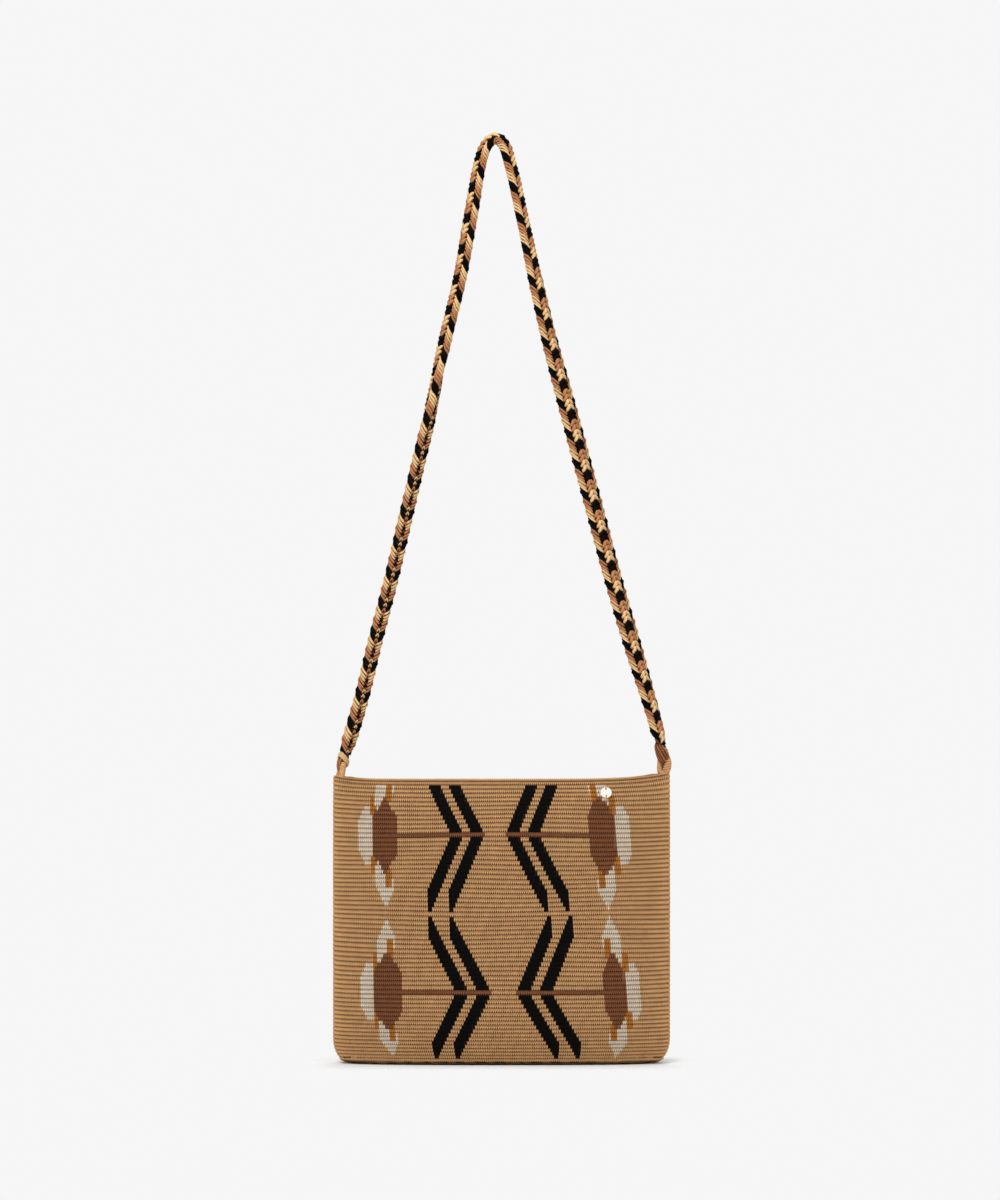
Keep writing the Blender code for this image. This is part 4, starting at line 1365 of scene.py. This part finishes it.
@dataclass
class PlaitedStrap:
    """The flat plait in blocks of three yarns.

    Attributes:
        route: The line that it follows.
        half_width, half_thickness: Its section.
        block: The length of one block of colour.
        front_climb, back_climb: How far a yarn runs along the strap from an edge to the middle of each face.
        front_phase, back_phase: How far along from a block's edge yarns its chevrons lie on each face.
        phase: How far the first block is moved along the strap.
        yarns, yarn_radius: The yarns of a block, side by side, and their radius.
        yarn_steps, yarn_turn: A yarn's points round an edge, and its first and last angle there.
        squareness: The power that rounds the section's corners.
        face_slim: How much thinner a yarn gets towards the ridged face.
        tucks: How far a yarn's two ends sink under the plait.
        bulges: How far the middle and the other yarns of a block stand out.
        front_leg, back_leg: One leg of a chevron of each face, along, across and out from its apex.
        front_radius, back_radius: The radius of those legs.
        back_sink: How far the back's chevrons lie under its face.
        eye_half_width, flare: Half the plait's width at its ends, and the length over which it widens.
        first, overlap: Where the plait starts from each end, and how far it reaches under the binding.
        core_share: The core's half width and half thickness as shares of the plait's.
        core_points, core_reach: The core's points, and how far it goes on past the plait.
        wobble, seed: How far points are moved at random, and the first seed.
        colours: The yarns of the blocks in turn.
    """

    route: StrapRoute
    half_width: float = 0.0072
    half_thickness: float = 0.0038
    block: float = 0.00833
    front_climb: float = 0.0066
    back_climb: float = 0.0044
    front_phase: float = 0.0108
    back_phase: float = 0.0082
    phase: float = -0.0050
    yarns: int = 3
    yarn_radius: float = 0.00112
    yarn_steps: int = 11
    yarn_turn: tuple[float, float] = (74.0, -85.0)
    squareness: float = 0.72
    face_slim: float = 0.26
    tucks: tuple[float, float] = (0.0009, 0.0003)
    bulges: tuple[float, float] = (0.0005, -0.0003)
    front_leg: tuple[Colour, ...] = (
        *((-0.0008, 0.0002, -0.0016), (0.0002, 0.0006, 0.0002), (0.0018, 0.0013, 0.0006)),
        *((0.0034, 0.0022, -0.0004), (0.0045, 0.0028, -0.0022)),
    )
    back_leg: tuple[Colour, ...] = (
        *((0.0006, 0.0, -0.0008), (0.0000, 0.0004, -0.0001)),
        *((-0.0012, 0.0010, -0.0001), (-0.0024, 0.0015, -0.0010)),
    )
    front_radius: float = 0.00152
    back_radius: float = 0.00070
    back_sink: float = 0.0006
    eye_half_width: float = 0.0050
    flare: float = 0.0120
    first: float = 0.0165
    overlap: float = 0.0020
    core_share: tuple[float, float] = (0.74, 0.66)
    core_points: int = 151
    core_reach: float = 0.004
    wobble: float = 0.00012
    seed: int = 11
    colours: tuple[Yarn, ...] = (Yarn.BLACK, Yarn.TERRACOTTA, Yarn.SAND)

    def side_yarn(
        self, side: int, start: float, bulge: float
    ) -> tuple[list[Vector], list[Vector], list[float]]:
        """One yarn's way round an edge, from the middle of the back up to the chevrons of the ridged face.

        Args:
            side: The edge that it goes round, -1 or 1.
            start: Where along the strap it passes the edge.
            bulge: How far it stands out there beyond its neighbours' mean.

        Returns:
            Its points, its outward directions and its radius at each point.
        """
        wide = self.half_width - self.yarn_radius * 0.9 + bulge
        thick = self.half_thickness - self.yarn_radius * 0.9
        last = self.yarn_steps - 1
        begin, finish = self.yarn_turn
        route, facing, radii = [], [], []
        for i in range(self.yarn_steps):
            angle = math.radians(begin + (finish - begin) * i / last)
            cosine, sine = math.cos(angle), math.sin(angle)
            across = wide * abs(cosine) ** self.squareness
            depth = thick * math.copysign(abs(sine) ** self.squareness, sine)
            climb = (0.45 * abs(sine) + 0.55 * (1.0 - across / wide)) / 0.77
            shift = climb * (self.front_climb if sine > 0 else -self.back_climb)
            tuck = self.tucks[0] if i == 0 else self.tucks[1] if i == last else 0.0
            route.append(Vector((start + shift, side * across, depth - math.copysign(tuck, sine))))
            facing.append(Vector((0.0, side * cosine, sine)))
            radii.append(self.yarn_radius * (1.0 - self.face_slim * max(0.0, sine)))
        return route, facing, radii

    def block_mesh(self) -> bpy.types.Mesh:
        """One block of the plait, straight along X: the yarns round both edges, and chevrons down both faces.

        Returns:
            The mesh that every block repeats.
        """
        strands = Strands()
        pitch = self.block / self.yarns
        front_out = self.half_thickness
        back_out = self.back_sink - self.half_thickness
        for side in (-1, 1):
            for yarn in range(self.yarns):
                bulge = self.bulges[0 if yarn == self.yarns // 2 else 1]
                route, facing, radii = self.side_yarn(side, (yarn + 0.5) * pitch, bulge)
                strands.add(route, radii, facing, flat=0.95, tone=0.6 * (yarn - 1))
        for chevron in range(2):
            apex = (chevron + 0.5) * self.block / 2
            for side in (-1, 1):
                for leg, radius, along, out, way, tone in (
                    (self.front_leg, self.front_radius, self.front_phase, front_out, 1.0, 0.6 * side),
                    (self.back_leg, self.back_radius, self.back_phase, back_out, -1.0, -0.8),
                ):
                    place = Vector((apex + along, 0.0, out))
                    points = [place + Vector((x, side * y, way * z)) for x, y, z in leg]
                    strands.add(points, radius, [Vector((0.0, side * 0.3, way))] * len(leg), tone=tone)
        return strands.mesh("plait_block")

    def plait_tree(self) -> bpy.types.NodeTree:
        """The geometry node tree that repeats a block of colour and bends the row along the strap's line."""
        tree, given, result = open_group(
            "plait_along_strap",
            "Geometry",
            {
                "Geometry": ("Geometry",),
                "Object": ("Block", "Guide"),
                "Float": ("Start", "Repeat", "From", "To", "Flare", "End Share"),
                "Int": ("Count", "Seed"),
                "Material": ("Yarn",),
            },
            {"Geometry": ("Geometry",)},
        )
        ask = given.outputs
        source, guide = (
            tree.add("GeometryNodeObjectInfo", {"Object": ask[label]}).outputs["Geometry"]
            for label in ("Block", "Guide")
        )
        start, step = (
            tree.add("ShaderNodeCombineXYZ", {0: ask[label]}).outputs[0] for label in ("Start", "Repeat")
        )
        row = {"Count": ask["Count"], "Start Location": start, "Offset": step}
        line = tree.add("GeometryNodeMeshLine", row, mode="OFFSET").outputs[0]
        placed = tree.add("GeometryNodeInstanceOnPoints", {"Points": line, "Instance": source}).outputs[0]
        real = tree.add("GeometryNodeRealizeInstances", {0: placed}).outputs[0]
        along, aside, out = tree.split(tree.add("GeometryNodeInputPosition").outputs[0])
        low = tree.math("SUBTRACT", along, ask["From"])
        high = tree.math("SUBTRACT", ask["To"], along)
        near = tree.clamp(tree.math("DIVIDE", tree.math("MINIMUM", low, high), ask["Flare"]))
        grown = tree.math("MULTIPLY", near, tree.math("SUBTRACT", 1.0, ask["End Share"]))
        grown = tree.math("ADD", grown, ask["End Share"])
        curve = tree.add("GeometryNodeMeshToCurve", {"Mesh": guide}).outputs[0]
        inside = tree.clamp(along, ask["From"], ask["To"])

        def sampled(label: str, kind: str) -> bpy.types.Node:
            """Reads the guide's line, with a named value of it, at the place along it."""
            wanted = {"Curves": curve, "Value": tree.stored(label, kind), "Length": inside}
            return tree.add("GeometryNodeSampleCurve", wanted, mode="LENGTH", data_type=kind)

        sample = sampled("facing", "FLOAT_VECTOR").outputs
        outward = tree.vector("NORMALIZE", sample["Value"])
        across = tree.vector("CROSS_PRODUCT", sample["Tangent"], outward)
        breadth = sampled("breadth", "FLOAT").outputs["Value"]
        wide = tree.math("MULTIPLY", tree.math("MULTIPLY", aside, grown), breadth)
        moved = tree.vector("ADD", sample["Position"], tree.scaled(across, wide))
        moved = tree.vector("ADD", moved, tree.scaled(outward, tree.math("MULTIPLY", out, grown)))
        moved = tree.vector("ADD", moved, tree.scattered(self.wobble, ask["Seed"]))
        bent = tree.add("GeometryNodeSetPosition", {"Geometry": real, "Position": moved}).outputs[0]
        dressed = tree.add("GeometryNodeSetMaterial", {"Geometry": bent, "Material": ask["Yarn"]}).outputs[0]
        tree.link(dressed, result, 0)
        return tree.tree

    def core(self) -> bpy.types.Mesh:
        """The yarn carried inside the plait, as one closed tube that stays under its surface, all in the
        terracotta's painted shade for the shade between the strands.
        """
        core = Strands(sides=8)
        start = self.first - self.core_reach
        span = self.route.length - 2 * start
        last = self.core_points - 1
        places = [self.route.frame_at(start + span * i / last) for i in range(self.core_points)]
        wide = self.half_width * self.core_share[0]
        flat = self.half_thickness * self.core_share[1] / wide
        facing = [place.to_3x3().col[2] for place in places]
        core.add([place.translation for place in places], wide, facing, flat)
        # Painted shade: the whole core takes its yarn's shade colour.
        core.crests = [0.15] * len(core.crests)
        return core.mesh("strap_core", FINISHES[Yarn.TERRACOTTA].material(turn=0.004, plies=2.0))

    def build(self) -> None:
        """Makes the plait in its three yarns, with its core."""
        settle("strap_core", self.core(), "strap")
        block = bpy.data.objects.new("plait_block", self.block_mesh())
        guide = self.route.guide()
        tree = self.plait_tree()
        turns = len(self.colours)
        span = self.route.length - 2 * self.first
        blocks = round(span / self.block)
        length = span / blocks
        for number, yarn in enumerate(self.colours):
            values = {
                "Block": block,
                "Guide": guide,
                "Start": self.first + self.phase + (number - turns) * length,
                "Repeat": turns * length,
                "Count": (blocks - number + 2) // turns + 1,
                "From": self.first - self.overlap,
                "To": self.route.length - self.first + self.overlap,
                "Flare": self.flare,
                "End Share": self.eye_half_width / self.half_width,
                "Seed": self.seed + number,
                "Yarn": FINISHES[yarn].material(turn=0.0110, plies=3.0, ply_depth=0.15, bump=0.4),
            }
            name = "strap_plait_" + yarn.name.lower()
            settle(name, grow(name, bpy.data.meshes.new("plait_seed"), tree, values), "strap")
        bpy.data.objects.remove(block)
        bpy.data.objects.remove(guide)


@dataclass(frozen=True)
class Wrap:
    """How the binding yarn is wound: its turns, its radius and its slant along the strap, in metres."""

    turns: float
    radius: float
    lean: float


@dataclass
class StrapEnd:
    """The eye and the bound neck at one end of the strap, with the threads over the right one.

    Attributes:
        end: Which end it is.
        route: The strap's line.
        eye_below, eye_above: How far the eye reaches from its middle, outward and inward.
        eye_layers, eye_tracks: The depths of its two layers of yarn, and the reaches of its two tracks.
        eye_steps, eye_radius: The points and the radius of its yarns.
        sags: How much longer than wide the left and the right eye hang, which fills the right loop's slot.
        binding_length: The length of the binding along the strap.
        neck_half_width, neck_half_thickness: The section of the neck.
        clearance: The gap between the eye and the binding.
        drop: How far the binding is moved towards the eye.
        wraps: How the left and the right binding are wound.
        wrap_steps: The points of one turn.
        threads, thread_steps, thread_radius: The threads over the right neck.
    """

    end: End
    route: StrapRoute
    eye_below: float = 0.0048
    eye_above: float = 0.0034
    eye_layers: tuple[float, float] = (-0.00135, 0.00135)
    eye_tracks: tuple[float, float] = (0.0034, 0.0030)
    eye_steps: int = 16
    eye_radius: float = 0.00130
    sags: tuple[float, float] = (1.0, 2.8)
    binding_length: float = 0.0062
    neck_half_width: float = 0.0042
    neck_half_thickness: float = 0.0026
    clearance: float = 0.0003
    drop: float = 0.0022
    wraps: tuple[Wrap, Wrap] = (Wrap(3.0, 0.00092, 0.0030), Wrap(2.5, 0.00075, -0.0018))
    wrap_steps: int = 16
    threads: int = 6
    thread_steps: int = 8
    thread_radius: float = 0.0010

    def place(self, distance: float) -> Matrix:
        """The strap's frame at a distance from this end, with X pointing away from the bag."""
        if self.end is End.LEFT:
            return self.route.frame_at(distance)
        return self.route.frame_at(self.route.length - distance) @ Matrix.Rotation(math.pi, 4, "Z")

    def eye(self, material: bpy.types.Material) -> bpy.types.Mesh:
        """The yarns that run down one side of the eye, under the loop's cord and up the other side."""
        eye = Strands(sides=7)
        place = self.place(self.eye_below)
        sag = self.sags[0 if self.end is End.LEFT else 1]
        for layer, depth in enumerate(self.eye_layers):
            for track, reach in enumerate(self.eye_tracks):
                route, facing = [], []
                for i in range(self.eye_steps + 1):
                    angle = math.pi * i / self.eye_steps
                    side = math.cos(angle)
                    below = -math.sin(angle) * reach * sag
                    local = Vector((below + 0.0042 * abs(side) ** 3, side * reach, depth))
                    if i in (0, self.eye_steps):
                        local = Vector((0.0105, math.copysign(0.0024, side), depth * 0.8))
                    route.append(place @ local)
                    facing.append(place.to_3x3() @ Vector((-math.sin(angle), side, 0.0)))
                eye.add(route, self.eye_radius, facing, tone=0.5 * (layer + track - 1))
        return eye.mesh("strap_eye", material)

    def winding(self, wrap: Wrap) -> Strands:
        """The yarn wound round the neck."""
        winding = Strands()
        place = self.place(self.eye_below + self.eye_above + self.clearance - self.drop)
        wide = self.neck_half_width + wrap.radius * 0.8
        deep = self.neck_half_thickness + wrap.radius * 0.8
        steps = int(wrap.turns * self.wrap_steps)
        route, facing = [], []
        for i in range(steps + 1):
            angle = 2 * math.pi * wrap.turns * i / steps
            away = Vector((0.0, math.cos(angle), math.sin(angle)))
            along = wrap.radius + (self.binding_length - 2 * wrap.radius) * i / steps + wrap.lean * away.y
            route.append(place @ Vector((along, away.y * wide, away.z * deep)))
            facing.append(place.to_3x3() @ away)
        winding.add(route, wrap.radius, facing)
        return winding

    def fan(self) -> Strands:
        """The brown threads that slant from the plait down over the right neck."""
        threads = Strands()
        for thread in range(self.threads):
            route, facing = [], []
            for i in range(self.thread_steps):
                share = i / (self.thread_steps - 1)
                angle = math.radians(262.0 - 27.0 * thread - 50.0 * share)
                bulge = 0.0009 + 0.0011 * math.sin(math.pi * share)
                away = Vector((0.0, math.cos(angle), math.sin(angle)))
                place = self.place(0.0180 - 0.0165 * share - 0.0006 * thread)
                wide = away.y * (self.neck_half_width + bulge)
                deep = away.z * (self.neck_half_thickness + bulge)
                route.append(place @ Vector((0.0, wide, deep)))
                facing.append(place.to_3x3() @ away)
            threads.add(route, self.thread_radius, facing, tone=2.4 if thread % 2 else -0.4)
        return threads

    def build(self) -> None:
        """Makes the eye, the winding and, on the right, the threads."""
        label = self.end.name.lower()
        left = self.end is End.LEFT
        dark = Yarn.TERRACOTTA if left else Yarn.BROWN
        material = FINISHES[dark].material(turn=0.0030, plies=2.0)
        settle("strap_eye_" + label, self.eye(material), "strap")
        winding = self.winding(self.wraps[0 if left else 1])
        if not left:
            settle("strap_fan_right", self.fan().mesh("strap_fan_right", material), "strap")
        node = "strap_binding_" + label
        finish = FINISHES[Yarn.SAND].material(turn=0.0022, plies=2.0, ply_depth=0.4)
        settle(node, winding.mesh(node, finish), node)


@dataclass
class SewnDisc:
    """The small metal disc and its two stitches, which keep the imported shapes."""

    finish: MetalFinish = field(default_factory=MetalFinish)
    thread: YarnFinish = field(
        default_factory=lambda: YarnFinish(Yarn.OCHRE, *[from_screen(206, 140, 48)] * 3)
    )

    def build(self) -> None:
        """Dresses the disc and its stitches."""
        thread = self.thread.material(turn=0.0012, plies=2.0)
        dress = {"charm_disc": self.finish.material()}
        dress |= {"disc_thread_upper": thread, "disc_thread_lower": thread}
        for node, material in dress.items():
            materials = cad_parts[node].data.materials
            materials.clear()
            materials.append(material)
            LOG.info("%s: dressed", node)


# The studio


@dataclass(frozen=True)
class Lamp:
    """A soft square lamp that looks at the bag, with its size in metres and its power in watts."""

    name: str
    place: tuple[float, float, float]
    size: float
    power: float

    def build(self, aim: Vector) -> None:
        """Adds the lamp, looking at the aim."""
        light = bpy.data.lights.new(self.name, "AREA")
        light.size = self.size
        light.energy = self.power
        lamp = bpy.data.objects.new(self.name, light)
        lamp.location = self.place
        lamp.rotation_euler = (aim - lamp.location).to_track_quat("-Z", "Y").to_euler()
        bpy.context.scene.collection.objects.link(lamp)


@dataclass
class Studio:
    """The pale floor, the soft light and the camera of the photograph.

    Attributes:
        span: The height of the picture at the bag, in metres.
        distance: The camera's distance from the bag.
        eye: The camera's X and Z.
        sensor: The width of its sensor, in millimetres.
        backdrop: The backdrop's colour.
        ambient: The strength of the light all round.
        floor_half, floor_drop, floor_tone: Half the floor's side, its depth under the bag, and its grey.
        foot: Half the length and half the depth of the bag's foot, which the shadow lies round.
        shadow_reach: How far the shadow reaches beyond it.
        aim: The point that the lamps look at.
        lamps: The lamps.
    """

    span: float = 0.960
    distance: float = 2.75
    eye: tuple[float, float] = (-0.0012, 0.370)
    sensor: float = 36.0
    backdrop: Colour = field(default_factory=lambda: from_screen(246, 246, 246))
    ambient: float = 0.50
    floor_half: float = 1.6
    floor_drop: float = 0.0004
    floor_tone: float = 0.80
    foot: tuple[float, float] = (0.125, 0.012)
    shadow_reach: float = 0.034
    aim: tuple[float, float, float] = (0.0, 0.0, 0.25)
    lamps: tuple[Lamp, ...] = (
        Lamp("key", (-0.8, -1.5, 2.3), 1.1, 46.0),
        Lamp("fill", (1.8, -1.5, 1.1), 1.6, 12.0),
        Lamp("crown", (0.2, 0.6, 2.3), 1.4, 14.0),
    )

    def build(self) -> None:
        """Sets up the whole studio."""
        bpy.context.scene.view_settings.view_transform = "Standard"
        self.camera()
        self.world()
        self.floor()
        for lamp in self.lamps:
            lamp.build(Vector(self.aim))

    def camera(self) -> None:
        """Places the camera level with the picture's middle."""
        lens = bpy.data.cameras.new("camera")
        lens.sensor_width = self.sensor
        lens.lens = self.sensor * self.distance / self.span
        camera = bpy.data.objects.new("camera", lens)
        camera.location = (self.eye[0], -self.distance, self.eye[1])
        camera.rotation_euler = (math.pi / 2, 0.0, 0.0)
        bpy.context.scene.collection.objects.link(camera)
        bpy.context.scene.camera = camera

    def world(self) -> None:
        """A soft grey light all round, seen by the camera and in reflections as the pale backdrop."""
        world = bpy.data.worlds.new("studio")
        bpy.context.scene.world = world
        world.use_nodes = True
        world.node_tree.nodes.clear()
        tree = Tree(world.node_tree)
        path = tree.add("ShaderNodeLightPath").outputs
        seen = tree.math("MAXIMUM", path["Is Camera Ray"], path["Is Glossy Ray"])
        seen = tree.math("MAXIMUM", seen, path["Is Transmission Ray"])
        light = tree.add("ShaderNodeBackground", {"Color": (1.0, 1.0, 1.0, 1.0), "Strength": self.ambient})
        view = tree.add("ShaderNodeBackground", {"Color": (*self.backdrop, 1.0), "Strength": 1.0})
        mix = tree.add("ShaderNodeMixShader", {0: seen, 1: light.outputs[0], 2: view.outputs[0]})
        tree.add("ShaderNodeOutputWorld", {0: mix.outputs[0]})

    def floor(self) -> None:
        """A pale floor that takes the thin shadow round the bag's foot and fades into the backdrop."""
        mesh = bpy.data.meshes.new("studio_floor")
        half = self.floor_half
        corners = [(-half, -half, 0.0), (half, -half, 0.0), (half, half, 0.0), (-half, half, 0.0)]
        mesh.from_pydata(corners, [], [(0, 1, 2, 3)])
        material = bpy.data.materials.new("studio_floor")
        material.use_nodes = True
        material.node_tree.nodes.clear()
        tree = Tree(material.node_tree)
        place = tree.vector("SUBTRACT", tree.vector("ABSOLUTE", tree.object_place()), (*self.foot, 0.0))
        place = tree.vector("MAXIMUM", place)
        away = tree.add("ShaderNodeVectorMath", {0: place}, operation="LENGTH").outputs["Value"]
        ramp = {0: away, 1: 0.0, 2: self.shadow_reach, 3: 0.0, 4: 1.0}
        fade = tree.add("ShaderNodeMapRange", ramp, interpolation_type="SMOOTHSTEP").outputs[0]
        fade = tree.math("MULTIPLY", fade, tree.add("ShaderNodeLightPath").outputs["Is Camera Ray"])
        solid = tree.add("ShaderNodeBsdfDiffuse", {"Color": (*[self.floor_tone] * 3, 1.0)})
        clear = tree.add("ShaderNodeBsdfTransparent")
        mix = tree.add("ShaderNodeMixShader", {0: fade, 1: solid.outputs[0], 2: clear.outputs[0]})
        tree.add("ShaderNodeOutputMaterial", {0: mix.outputs[0]})
        mesh.materials.append(material)
        floor = show("studio_floor", mesh)
        floor.location = (0.0, 0.0, -self.floor_drop)


def main() -> None:
    """Builds the studio and every piece of the bag."""
    logging.basicConfig(level=logging.INFO, format="%(message)s")
    Studio().build()
    CrochetBag().build()
    loops = {end: CornerLoop(end) for end in End}
    for loop in loops.values():
        loop.build()
    route = StrapRoute(loops)
    LOG.info("strap: %.3f m long", route.length)
    PlaitedStrap(route).build()
    for end in End:
        StrapEnd(end, route).build()
    SewnDisc().build()


if __name__ == "__main__":
    main()
